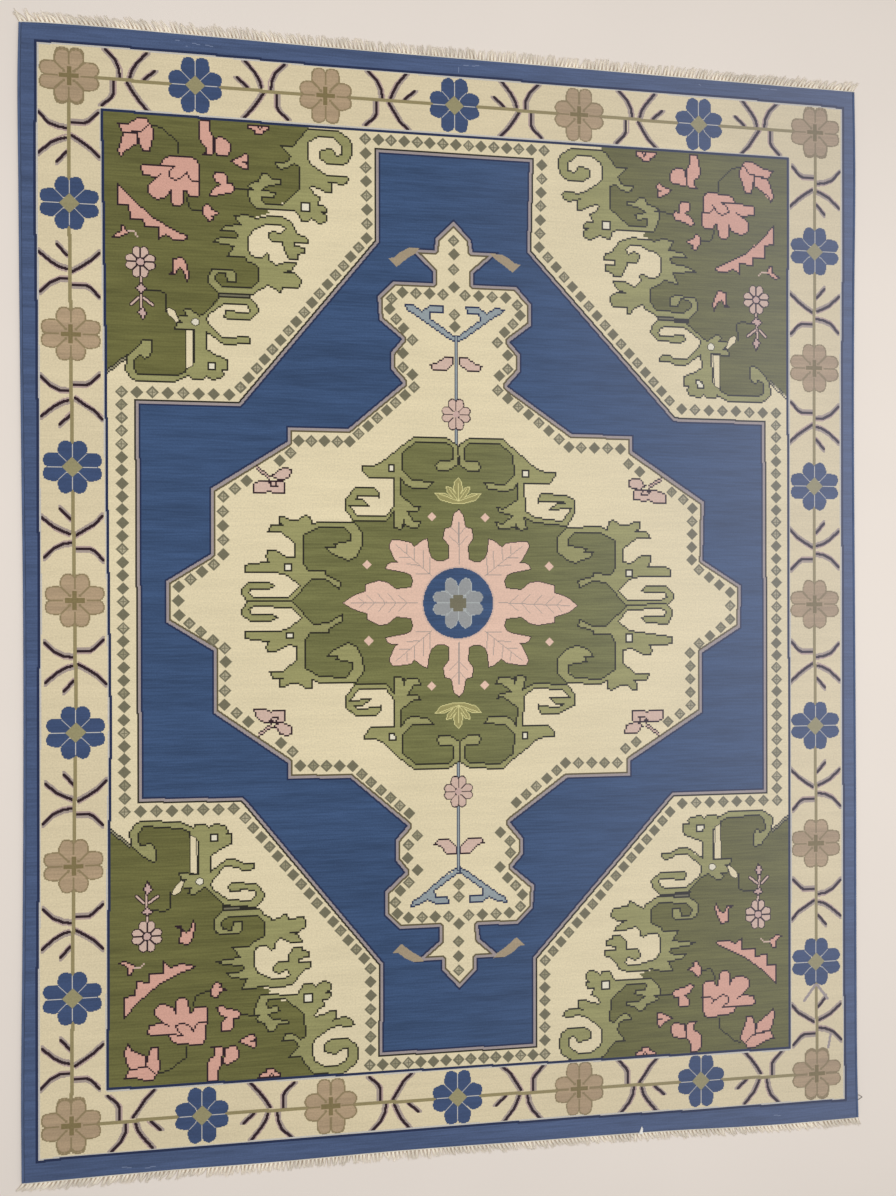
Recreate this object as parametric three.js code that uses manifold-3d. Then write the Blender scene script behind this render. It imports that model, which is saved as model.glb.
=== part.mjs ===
// A hand-knotted Oushak rug, lying flat with its pile up.
// Millimetres, +Z up, +Y along the warp. The origin is on the floor, under the middle of the rug.

import * as THREE from 'three';
import { mergeVertices } from 'three/addons/utils/BufferGeometryUtils.js';
import Module from 'manifold-3d';

const wasm = await Module();
wasm.setup();

// Cloth, over the selvedges and without the fringes
const RUG_WIDTH = 2570;
const RUG_LENGTH = 3320;
const PILE_HEIGHT = 10;
const PILE_SHOULDER = 2.5;
const SELVEDGE_WIDTH = 9;
const SELVEDGE_HEIGHT = 8.4;
const SELVEDGE_SHOULDER = 3.6;
const PIECE_GAP = 0.3;

// Woven end band and the warp bundles that leave it
const BAND_WIDTH = 6;
const BAND_HEIGHT = 4.4;
const BAND_SHOULDER = 1.2;
const STRANDS_PER_END = 150;
const STRAND_WIDTH = 9;
const STRAND_HEIGHT = 3.8;
const STRAND_TIP_SHARE = 0.62;
const STRAND_TOP_SHARE = 0.6;
const STRAND_STEPS = 2;
const STRAND_ROOT_DEPTH = 1.5;
const STRAND_BEND = 0.3;
const LENGTH_JITTER = 3;
const LEAN_JITTER = 2;
const JITTER_SEED = 7;

// How finely the pieces are made
const EDGE_STEP = 150;
const SHOULDER_STEPS = 3;
const WELD_DISTANCE = 1e-4;

const HALF_WIDTH = RUG_WIDTH / 2;
const HALF_LENGTH = RUG_LENGTH / 2;

// How far each edge strays outwards from a straight line, at places along it
const LEFT_EDGE = [
  { at: -1660, out: 0 },
  { at: -1400, out: 1 },
  { at: -1000, out: -3 },
  { at: -600, out: -6 },
  { at: 0, out: -6 },
  { at: 400, out: -2 },
  { at: 800, out: 2 },
  { at: 1200, out: 5 },
  { at: 1500, out: 7 },
  { at: 1660, out: 4 },
];
const RIGHT_EDGE = [
  { at: -1660, out: 6 },
  { at: -1500, out: 2 },
  { at: -1200, out: 0 },
  { at: -600, out: -1 },
  { at: 0, out: -4 },
  { at: 600, out: -7 },
  { at: 1000, out: -5 },
  { at: 1400, out: -1 },
  { at: 1660, out: -4 },
];
const TOP_EDGE = [
  { at: -1285, out: 5 },
  { at: -1200, out: 8 },
  { at: -800, out: 6 },
  { at: -400, out: 1 },
  { at: 0, out: -1 },
  { at: 400, out: -3 },
  { at: 800, out: -6 },
  { at: 1285, out: -8 },
];
const BOTTOM_EDGE = [
  { at: -1285, out: -2 },
  { at: -900, out: -6 },
  { at: -600, out: -4 },
  { at: -200, out: -7 },
  { at: 200, out: -3 },
  { at: 600, out: 0 },
  { at: 1000, out: 10 },
  { at: 1285, out: 9 },
];

// How the warp bundles lie: lean in degrees, tips to the right where it is over 0
const TOP_FRINGE = [
  { at: -1285, lean: -42, length: 42 },
  { at: -1000, lean: -34, length: 40 },
  { at: -600, lean: -20, length: 38 },
  { at: 0, lean: -8, length: 36 },
  { at: 500, lean: 10, length: 37 },
  { at: 900, lean: 26, length: 38 },
  { at: 1285, lean: 38, length: 40 },
];
const BOTTOM_FRINGE = [
  { at: -1285, lean: -42, length: 34 },
  { at: -1000, lean: -30, length: 33 },
  { at: -600, lean: -14, length: 32 },
  { at: -200, lean: 6, length: 31 },
  { at: 200, lean: 24, length: 31 },
  { at: 800, lean: 30, length: 31 },
  { at: 1285, lean: 38, length: 32 },
];

const WOOL = new THREE.MeshStandardMaterial({ color: 0x4a6290, roughness: 0.95, metalness: 0 });
const EDGE_WOOL = new THREE.MeshStandardMaterial({ color: 0x5d7391, roughness: 0.95, metalness: 0 });
const COTTON = new THREE.MeshStandardMaterial({ color: 0xe3d6bd, roughness: 0.9, metalness: 0 });

// A smooth function of place through one column of a table
function column(table, name) {
  const places = table.map((row) => row.at);
  const values = table.map((row) => row[name]);
  const curve = new THREE.CubicInterpolant(places, values, 1, new Float64Array(1));
  return (at) => curve.evaluate(THREE.MathUtils.clamp(at, places[0], places.at(-1)))[0];
}

const leftOut = column(LEFT_EDGE, 'out');
const rightOut = column(RIGHT_EDGE, 'out');
const topOut = column(TOP_EDGE, 'out');
const bottomOut = column(BOTTOM_EDGE, 'out');

// Moves a place on a straight-sided rug to where it lies on the uneven one
function lay(x, y) {
  const across = (x + HALF_WIDTH) / RUG_WIDTH;
  const along = (y + HALF_LENGTH) / RUG_LENGTH;
  return [
    THREE.MathUtils.lerp(-HALF_WIDTH - leftOut(y), HALF_WIDTH + rightOut(y), across),
    THREE.MathUtils.lerp(-HALF_LENGTH - bottomOut(x), HALF_LENGTH + topOut(x), along),
  ];
}

function toSolid(geometry) {
  geometry.deleteAttribute('normal');
  geometry.deleteAttribute('uv');
  const merged = mergeVertices(geometry, WELD_DISTANCE);
  return new wasm.Manifold(new wasm.Mesh({
    numProp: 3,
    vertProperties: new Float32Array(merged.attributes.position.array),
    triVerts: new Uint32Array(merged.index.array),
  }));
}

function toGeometry(solid) {
  const mesh = solid.getMesh();
  const geometry = new THREE.BufferGeometry();
  geometry.setAttribute('position', new THREE.BufferAttribute(mesh.vertProperties, 3));
  geometry.setIndex(new THREE.BufferAttribute(mesh.triVerts, 1));
  geometry.computeVertexNormals();
  return geometry;
}

// A slab with rounded upper edges, flat on the floor and laid to the uneven edges
function slab({ left, right, bottom, top, height, shoulder }) {
  const across = Math.ceil((right - left) / EDGE_STEP);
  const along = Math.ceil((top - bottom) / EDGE_STEP);
  const geometry = new THREE.BoxGeometry(1, 1, 1, across, along, SHOULDER_STEPS + 1);
  geometry.translate(0.5, 0.5, 0.5);
  const points = geometry.attributes.position;
  for (let i = 0; i < points.count; i += 1) {
    const rise = points.getZ(i) * (SHOULDER_STEPS + 1) - 1;
    const angle = (Math.max(0, rise) / SHOULDER_STEPS) * (Math.PI / 2);
    const inset = shoulder * (1 - Math.cos(angle));
    const x = THREE.MathUtils.lerp(left + inset, right - inset, points.getX(i));
    const y = THREE.MathUtils.lerp(bottom + inset, top - inset, points.getY(i));
    const z = points.getZ(i) > 0 ? height - shoulder + shoulder * Math.sin(angle) : 0;
    points.setXYZ(i, ...lay(x, y), z);
  }
  return toSolid(geometry);
}

function pile() {
  const edge = HALF_WIDTH - SELVEDGE_WIDTH - PIECE_GAP;
  return slab({
    left: -edge,
    right: edge,
    bottom: -HALF_LENGTH,
    top: HALF_LENGTH,
    height: PILE_HEIGHT,
    shoulder: PILE_SHOULDER,
  });
}

function selvedge(side) {
  const middle = side * (HALF_WIDTH - SELVEDGE_WIDTH / 2);
  return slab({
    left: middle - SELVEDGE_WIDTH / 2,
    right: middle + SELVEDGE_WIDTH / 2,
    bottom: -HALF_LENGTH,
    top: HALF_LENGTH,
    height: SELVEDGE_HEIGHT,
    shoulder: SELVEDGE_SHOULDER,
  });
}

// One warp bundle of four sides, level on the floor; end is 1 at the top and -1 at the bottom
function strand(root, end, lean, length) {
  const geometry = new THREE.BoxGeometry(1, 1, 1, 1, STRAND_STEPS, 1);
  geometry.translate(0, 0.5, 0.5);
  const points = geometry.attributes.position;
  for (let i = 0; i < points.count; i += 1) {
    const along = points.getY(i);
    const taper = THREE.MathUtils.lerp(1, STRAND_TIP_SHARE, along);
    const angle = THREE.MathUtils.degToRad(lean) * (1 + STRAND_BEND * (along - 1));
    const share = points.getZ(i) > 0 ? STRAND_TOP_SHARE : 1;
    const side = points.getX(i) * STRAND_WIDTH * taper * share;
    const reach = along * length;
    points.setXYZ(
      i,
      root[0] + reach * Math.sin(angle) + side * end * Math.cos(angle),
      root[1] + reach * end * Math.cos(angle) - side * Math.sin(angle),
      points.getZ(i) * STRAND_HEIGHT * taper,
    );
  }
  return toSolid(geometry);
}

function fringe(end, table) {
  const inner = end * (HALF_LENGTH + PIECE_GAP);
  const outer = inner + end * BAND_WIDTH;
  const leanAt = column(table, 'lean');
  const lengthAt = column(table, 'length');
  let solid = slab({
    left: -HALF_WIDTH,
    right: HALF_WIDTH,
    bottom: Math.min(inner, outer),
    top: Math.max(inner, outer),
    height: BAND_HEIGHT,
    shoulder: BAND_SHOULDER,
  });
  THREE.MathUtils.seededRandom(JITTER_SEED + end);
  const jitter = (most) => most * (2 * THREE.MathUtils.seededRandom() - 1);
  for (let i = 0; i < STRANDS_PER_END; i += 1) {
    const x = RUG_WIDTH * ((i + 0.5) / STRANDS_PER_END - 0.5);
    const root = lay(x, outer - end * STRAND_ROOT_DEPTH);
    const lean = leanAt(x) + jitter(LEAN_JITTER);
    const length = lengthAt(x) + jitter(LENGTH_JITTER);
    solid = solid.add(strand(root, end, lean, length));
  }
  return solid;
}

function piece(name, solid, material) {
  const mesh = new THREE.Mesh(toGeometry(solid), material.clone());
  mesh.name = name;
  return mesh;
}

const rug = new THREE.Group();
rug.name = 'rug';
rug.add(piece('pile', pile(), WOOL));
rug.add(piece('selvedge_left', selvedge(-1), EDGE_WOOL));
rug.add(piece('selvedge_right', selvedge(1), EDGE_WOOL));
rug.add(piece('fringe_top', fringe(1, TOP_FRINGE), COTTON));
rug.add(piece('fringe_bottom', fringe(-1, BOTTOM_FRINGE), COTTON));

export default rug;
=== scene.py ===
"""Looks of a hand-knotted Oushak rug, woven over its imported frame.

The pile is drawn on a weaver's chart of knots, in plan units of 4 mm with u to the photo's
right and v up. The chart is then cut into one closed sheet. Selvedges, end bands and fringes
are made beside it at their real size.
"""

import logging
import math
from dataclasses import dataclass, field
from enum import Enum

import bpy
import numpy as np
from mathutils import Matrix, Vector
from mathutils.geometry import delaunay_2d_cdt


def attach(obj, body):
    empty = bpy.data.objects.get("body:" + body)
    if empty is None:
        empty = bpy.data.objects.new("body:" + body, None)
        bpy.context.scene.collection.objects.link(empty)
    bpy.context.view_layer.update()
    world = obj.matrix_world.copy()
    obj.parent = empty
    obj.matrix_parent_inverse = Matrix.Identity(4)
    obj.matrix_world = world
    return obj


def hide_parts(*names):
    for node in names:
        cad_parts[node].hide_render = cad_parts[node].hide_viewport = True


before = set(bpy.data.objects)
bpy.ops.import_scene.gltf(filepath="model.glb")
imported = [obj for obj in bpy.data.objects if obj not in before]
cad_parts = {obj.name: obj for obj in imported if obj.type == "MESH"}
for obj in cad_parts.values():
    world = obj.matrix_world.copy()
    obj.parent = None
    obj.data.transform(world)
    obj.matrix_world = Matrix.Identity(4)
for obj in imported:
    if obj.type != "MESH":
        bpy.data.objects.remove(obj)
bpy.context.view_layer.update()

LOG = logging.getLogger("rug")
MM = 0.001
PLAN_UNIT = 4.0
HALF_KNOT = 2.5
PILE_HEIGHT = 10.0
# Points of the pile nearer than this are one, in mm
WELD = 0.02
RUG_WIDTH = 2570.0
RUG_LENGTH = 3320.0
HALF_WIDTH = RUG_WIDTH / 2
HALF_LENGTH = RUG_LENGTH / 2
PIECE_GAP = 0.3
# The plan is seen from above this place, so the pile's top shows nearer to it than the floor would
VIEW_FOOT = (-413.6, 16.5)
VIEW_HEIGHT = 2715.7
SELVEDGE_WIDTH = 9.0

Point = tuple[float, float]
Loop = list[Point]
Outline = Loop | np.ndarray
Colour = tuple[int, int, int]
Socket = bpy.types.NodeSocket


class Dye(Enum):
    """The wools of the pile, each with the colour it is dyed, as sRGB bytes."""

    BAND_BLUE = (76, 93, 129)
    FIELD_BLUE = (60, 83, 120)
    NAVY = (38, 49, 82)
    HALO = (200, 197, 192)
    CREAM = (229, 216, 181)
    OLIVE = (108, 107, 62)
    SAGE = (155, 153, 104)
    DARK = (46, 44, 36)
    PLUM = (48, 31, 39)
    PINK = (219, 169, 153)
    LILAC = (212, 184, 170)
    HEATHER = (162, 151, 151)
    TAUPE = (179, 156, 127)
    BRONZE = (147, 131, 98)
    STEM = (153, 141, 102)
    SLATE = (150, 161, 166)
    GREY = (153, 156, 158)
    PALE = (180, 187, 187)
    MOSS = (119, 115, 94)
    WHITE = (232, 226, 205)
    LICHEN = (153, 147, 120)
    STRAW = (177, 169, 142)
    UMBER = (102, 93, 68)
    ROSE = (204, 173, 166)
    KHAKI = (168, 152, 127)
    FLOWER_BLUE = (63, 81, 118)
    MUSTARD = (156, 149, 112)
    GOLD = (219, 212, 150)
    BLUSH = (230, 195, 176)
    CROSS = (132, 118, 80)
    MAUVE = (183, 160, 154)
    ASH = (171, 156, 148)
    FERN = (157, 151, 98)
    LINT = (118, 132, 164)
    SAND = (225, 211, 177)
    MEADOW = (116, 117, 73)

    @property
    def number(self) -> int:
        """The dye's place in the list of dyes."""
        return list(Dye).index(self)

    @property
    def uneven(self) -> float:
        """How much the dye changes from one row of knots to another, from 0 to 1."""
        if self in (Dye.BAND_BLUE, Dye.FIELD_BLUE, Dye.OLIVE, Dye.MEADOW):
            return 1.0
        return 0.6 if self in (Dye.SAGE, Dye.FLOWER_BLUE, Dye.TAUPE) else 0.2


def linear(colour: Colour) -> tuple[float, float, float, float]:
    """Turns an sRGB colour in bytes into Blender's linear colour.

    Args:
        colour: red, green and blue from 0 to 255.

    Returns:
        Linear red, green, blue and an alpha of 1.
    """
    shares = [c / 255 for c in colour]
    return tuple(c / 12.92 if c <= 0.04045 else ((c + 0.055) / 1.055) ** 2.4 for c in shares) + (1.0,)


@dataclass(frozen=True)
class Drift:
    """A value that changes smoothly along one side of the rug.

    Attributes:
        at: places along the side, in mm.
        value: the value at each place.
    """

    at: tuple[float, ...]
    value: tuple[float, ...]

    def __call__(self, place: np.ndarray) -> np.ndarray:
        """Reads the value at places along the side.

        Args:
            place: places in mm, of any shape.

        Returns:
            The values, through a smooth curve and flat past both ends.
        """
        at, value = np.array(self.at), np.array(self.value)
        slopes = np.diff(value) / np.diff(at)
        tangents = np.concatenate([slopes[:1], (slopes[:-1] + slopes[1:]) / 2, slopes[-1:]])
        place = np.clip(place, at[0], at[-1])
        i = np.clip(np.searchsorted(at, place) - 1, 0, len(at) - 2)
        step = at[i + 1] - at[i]
        s = (place - at[i]) / step
        start = (1 + 2 * s) * (1 - s) ** 2 * value[i] + s * (1 - s) ** 2 * step * tangents[i]
        end = s * s * (3 - 2 * s) * value[i + 1] + s * s * (s - 1) * step * tangents[i + 1]
        return start + end


# How far each edge strays outwards from a straight line
LEFT_EDGE = Drift(
    (-1660, -1400, -1000, -600, 0, 400, 800, 1200, 1500, 1660),
    (0, 1, -3, -6, -6, -2, 2, 5, 7, 4),
)
RIGHT_EDGE = Drift((-1660, -1500, -1200, -600, 0, 600, 1000, 1400, 1660), (6, 2, 0, -1, -4, -7, -5, -1, -4))
TOP_EDGE = Drift((-1285, -1200, -800, -400, 0, 400, 800, 1285), (5, 8, 6, 1, -1, -3, -6, -8))
BOTTOM_EDGE = Drift((-1285, -900, -600, -200, 200, 600, 1000, 1285), (-2, -6, -4, -7, -3, 0, 10, 9))


def lay(x: np.ndarray, y: np.ndarray) -> tuple[np.ndarray, np.ndarray]:
    """Moves places on a straight-sided rug to where they lie on the uneven one.

    Args:
        x: places across the rug, in mm.
        y: places along the rug, in mm.

    Returns:
        The same places on the uneven rug.
    """
    across = (x + HALF_WIDTH) / RUG_WIDTH
    along = (y + HALF_LENGTH) / RUG_LENGTH
    left, right = -HALF_WIDTH - LEFT_EDGE(y), HALF_WIDTH + RIGHT_EDGE(y)
    bottom, top = -HALF_LENGTH - BOTTOM_EDGE(x), HALF_LENGTH + TOP_EDGE(x)
    return left + (right - left) * across, bottom + (top - bottom) * along


@dataclass
class Chart:
    """The weaver's chart: the dye of each half knot of the pile.

    Shapes are given in plan units of 4 mm from the middle of the rug. They are woven in
    whole knots of 5 mm, and fine lines in half knots.

    Attributes:
        columns: half knots across the rug.
        rows: half knots along it.
        dyes: the number of the dye of each half knot, by row and column.
    """

    columns: int = 1022
    rows: int = 1328
    dyes: np.ndarray = field(init=False)

    def __post_init__(self) -> None:
        """Starts with the plain blue of the outer band."""
        self.dyes = np.full((self.rows, self.columns), Dye.BAND_BLUE.number, np.int16)

    def to_cells(self, points: Outline, grain: int) -> np.ndarray:
        """Turns plan points into columns and rows.

        Args:
            points: points in plan units.
            grain: 2 for whole knots and 1 for half knots.

        Returns:
            Places counted in cells of that grain, where whole numbers are cell centres.
        """
        size = grain * HALF_KNOT
        middle = np.array([self.columns / grain - 1, self.rows / grain - 1]) / 2
        places = np.asarray(points, float) * PLAN_UNIT
        return (places + (np.array(VIEW_FOOT) - places) * PILE_HEIGHT / VIEW_HEIGHT) / size + middle

    def paint(self, mask: np.ndarray, dye: Dye, grain: int = 2) -> None:
        """Weaves a dye wherever a mask of cells is set.

        Args:
            mask: the cells.
            dye: their dye.
            grain: 2 for whole knots and 1 for half knots.
        """
        whole = mask.repeat(grain, axis=0).repeat(grain, axis=1) if grain > 1 else mask
        self.dyes[whole] = dye.number

    def inside(self, loop: Outline, grain: int = 2) -> np.ndarray:
        """Finds the cells whose centres lie in a closed loop.

        Args:
            loop: points in plan units.
            grain: 2 for whole knots and 1 for half knots.

        Returns:
            A mask of cells.
        """
        mask = np.zeros((self.rows // grain, self.columns // grain), bool)
        cells = self.to_cells(loop, grain)
        for (x0, y0), (x1, y1) in zip(cells, np.roll(cells, -1, axis=0)):
            low, high = sorted((y0, y1))
            for row in range(max(math.ceil(low), 0), min(math.ceil(high), len(mask))):
                crossing = x0 + (x1 - x0) * (row - y0) / (y1 - y0)
                mask[row, max(math.ceil(crossing), 0):] ^= True
        return mask

    def fill(self, loop: Outline, dye: Dye, grain: int = 2) -> None:
        """Weaves a closed loop of one dye."""
        self.paint(self.inside(loop, grain), dye, grain)

    def line(self, points: Outline, dye: Dye, width: int = 1, grain: int = 2, closed: bool = False) -> None:
        """Weaves a line, cell by cell.

        Args:
            points: points in plan units.
            dye: its dye.
            width: its width in cells.
            grain: 2 for whole knots and 1 for half knots.
            closed: whether it runs back to its first point.
        """
        mask = np.zeros((self.rows // grain, self.columns // grain), bool)
        cells = self.to_cells(points, grain) - (width - 1) / 2
        stops = np.floor(cells + 0.5).astype(int)
        ahead = np.roll(stops, -1, axis=0)
        for start, end in list(zip(stops, ahead))[:None if closed else -1]:
            count = max(abs(end - start).max(), 1)
            share = np.arange(count + 1)[:, None]
            track = np.floor(start + (end - start) * share / count + 0.5).astype(int)
            for across in range(width):
                for up in range(width):
                    rows = np.clip(track[:, 1] + up, 0, mask.shape[0] - 1)
                    mask[rows, np.clip(track[:, 0] + across, 0, mask.shape[1] - 1)] = True
        self.paint(mask, dye, grain)

    def shape(self, loop: Outline, fill: Dye, edge: Dye, grain: int = 2) -> None:
        """Weaves a closed shape with a line one cell wide along its edge."""
        self.fill(loop, fill, grain)
        self.line(loop, edge, grain=grain, closed=True)

    def rings(self, loop: Outline, rings: list[tuple[Dye, int]], fill: Dye, grain: int = 2) -> None:
        """Weaves rings that follow a loop inwards, and fills what is left.

        Args:
            loop: the outer edge, in plan units.
            rings: each ring's dye and its width in cells.
            fill: dye of the inside.
            grain: 2 for whole knots and 1 for half knots.
        """
        left = self.inside(loop, grain)
        for dye, width in rings:
            for step in range(width):
                kept = shrunk(left, diagonal=step % 2 == 1)
                self.paint(left & ~kept, dye, grain)
                left = kept
        self.paint(left, fill, grain)

    def dyes_at(self, places: np.ndarray) -> np.ndarray:
        """Reads the dye at places on the rug.

        Args:
            places: places in mm, one a row.

        Returns:
            The number of each place's dye.
        """
        cells = np.floor(places / HALF_KNOT + (self.columns / 2, self.rows / 2)).astype(int)
        rows = np.clip(cells[:, 1], 0, self.rows - 1)
        return self.dyes[rows, np.clip(cells[:, 0], 0, self.columns - 1)]

    def seams(self) -> tuple[np.ndarray, np.ndarray]:
        """Finds where one dye meets another.

        Returns:
            The seams' corners in mm, and the straight stretches as pairs of corners.
        """
        grid = (self.rows + 1, self.columns + 1)
        up, right = np.zeros(grid, bool), np.zeros(grid, bool)
        up[:-1, 1:-1] = self.dyes[:, 1:] != self.dyes[:, :-1]
        right[1:-1, :-1] = self.dyes[1:] != self.dyes[:-1]
        down, left = np.roll(up, 1, axis=0), np.roll(right, 1, axis=1)
        through = (up & down & ~left & ~right) | (left & right & ~up & ~down)
        corner = (up | down | left | right) & ~through
        number = np.full(grid, -1)
        number[corner] = np.arange(corner.sum())
        stretches = []
        for names, starts in ((number, right), (number.T, up.T)):
            lines, places = np.nonzero(names >= 0)
            first = np.nonzero((lines[1:] == lines[:-1]) & starts[lines[:-1], places[:-1]])[0]
            ends = names[lines, places]
            stretches.append(np.column_stack([ends[first], ends[first + 1]]))
        rows, columns = np.nonzero(corner)
        places = np.column_stack([columns - self.columns / 2, rows - self.rows / 2]) * HALF_KNOT
        return places, np.concatenate(stretches)


def shrunk(mask: np.ndarray, diagonal: bool) -> np.ndarray:
    """Takes off the cells along a mask's edge.

    Args:
        mask: a mask of cells.
        diagonal: whether a cell whose corner touches the edge goes too.

    Returns:
        The smaller mask.
    """
    kept = mask.copy()
    for across, up in ((1, 0), (-1, 0), (0, 1), (0, -1)):
        kept &= np.roll(mask, (up, across), axis=(0, 1))
    if diagonal:
        for across, up in ((1, 1), (-1, 1), (1, -1), (-1, -1)):
            kept &= np.roll(mask, (up, across), axis=(0, 1))
    return kept


@dataclass
class Shape:
    """A mesh in the making: points in mm, faces, and what its corners carry.

    Attributes:
        points: blocks of points.
        faces: blocks of faces, all of one corner count each.
        colours: one block of linear colours a face for each block of faces.
        maps: one block of map places a corner for each block of faces.
    """

    points: list[np.ndarray] = field(default_factory=list)
    faces: list[np.ndarray] = field(default_factory=list)
    colours: list[np.ndarray] = field(default_factory=list)
    maps: list[np.ndarray] = field(default_factory=list)

    def add_points(self, points: np.ndarray) -> int:
        """Adds a block of points.

        Args:
            points: places in mm, one a row.

        Returns:
            The number of the first.
        """
        first = sum(len(block) for block in self.points)
        self.points.append(np.asarray(points, float))
        return first

    def add_faces(
        self, faces: np.ndarray, colours: np.ndarray | None = None, maps: np.ndarray | None = None,
    ) -> None:
        """Adds a block of faces.

        Args:
            faces: point numbers, one face a row.
            colours: a linear colour for each face.
            maps: a place on the map for each corner of each face.
        """
        self.faces.append(np.asarray(faces, int))
        if colours is not None:
            self.colours.append(colours)
        if maps is not None:
            self.maps.append(maps)

    def build(self, name: str) -> bpy.types.Object:
        """Makes the Blender object.

        Args:
            name: the piece's name.

        Returns:
            The object, at the origin, with its place in its mesh.
        """
        points = np.concatenate(self.points) * MM
        mesh = bpy.data.meshes.new(name)
        mesh.vertices.add(len(points))
        mesh.vertices.foreach_set("co", points.astype(np.float32).ravel())
        corners = np.concatenate([block.ravel() for block in self.faces])
        counts = np.concatenate([np.full(len(block), block.shape[1]) for block in self.faces])
        starts = np.concatenate([[0], np.cumsum(counts)[:-1]])
        mesh.loops.add(len(corners))
        mesh.loops.foreach_set("vertex_index", corners.astype(np.int32))
        mesh.polygons.add(len(counts))
        mesh.polygons.foreach_set("loop_start", starts.astype(np.int32))
        mesh.polygons.foreach_set("use_smooth", np.ones(len(counts), bool))
        mesh.update(calc_edges=True)
        if self.colours:
            dyes = mesh.color_attributes.new("Dye", "FLOAT_COLOR", "CORNER")
            spread = np.repeat(np.concatenate(self.colours), counts, axis=0)
            dyes.data.foreach_set("color", spread.astype(np.float32).ravel())
        if self.maps:
            layer = mesh.uv_layers.new(name="OFBake")
            places = np.concatenate([block.reshape(-1, 2) for block in self.maps])
            layer.uv.foreach_set("vector", places.astype(np.float32).ravel())
        mesh.validate(verbose=False)
        piece = bpy.data.objects.new(name, mesh)
        bpy.context.scene.collection.objects.link(piece)
        return piece


# Painted sheen: a pale haze painted into the pile's colour, strongest at the rug's right side
@dataclass(frozen=True)
class PaintedSheen:
    """Painted sheen: a pale haze painted into the wool's colour towards the rug's right side, and less of
    it near the bottom.

    Attributes:
        colour: the pale colour that the painted sheen mixes in, as sRGB bytes.
        share: share of it at the right side.
        across: where it starts and where it is fullest across the rug, in metres.
        along: where it is weakest and where it is fullest along the rug, in metres.
        weakest: its strength near the bottom.
        fullest: its strength further up.
    """

    # Colour of the painted sheen
    colour: Colour = (188, 191, 212)
    share: float = 0.18
    across: Point = (-0.3, 1.5)
    along: Point = (-1.6, 0.4)
    weakest: float = 0.6
    fullest: float = 1.05


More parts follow.
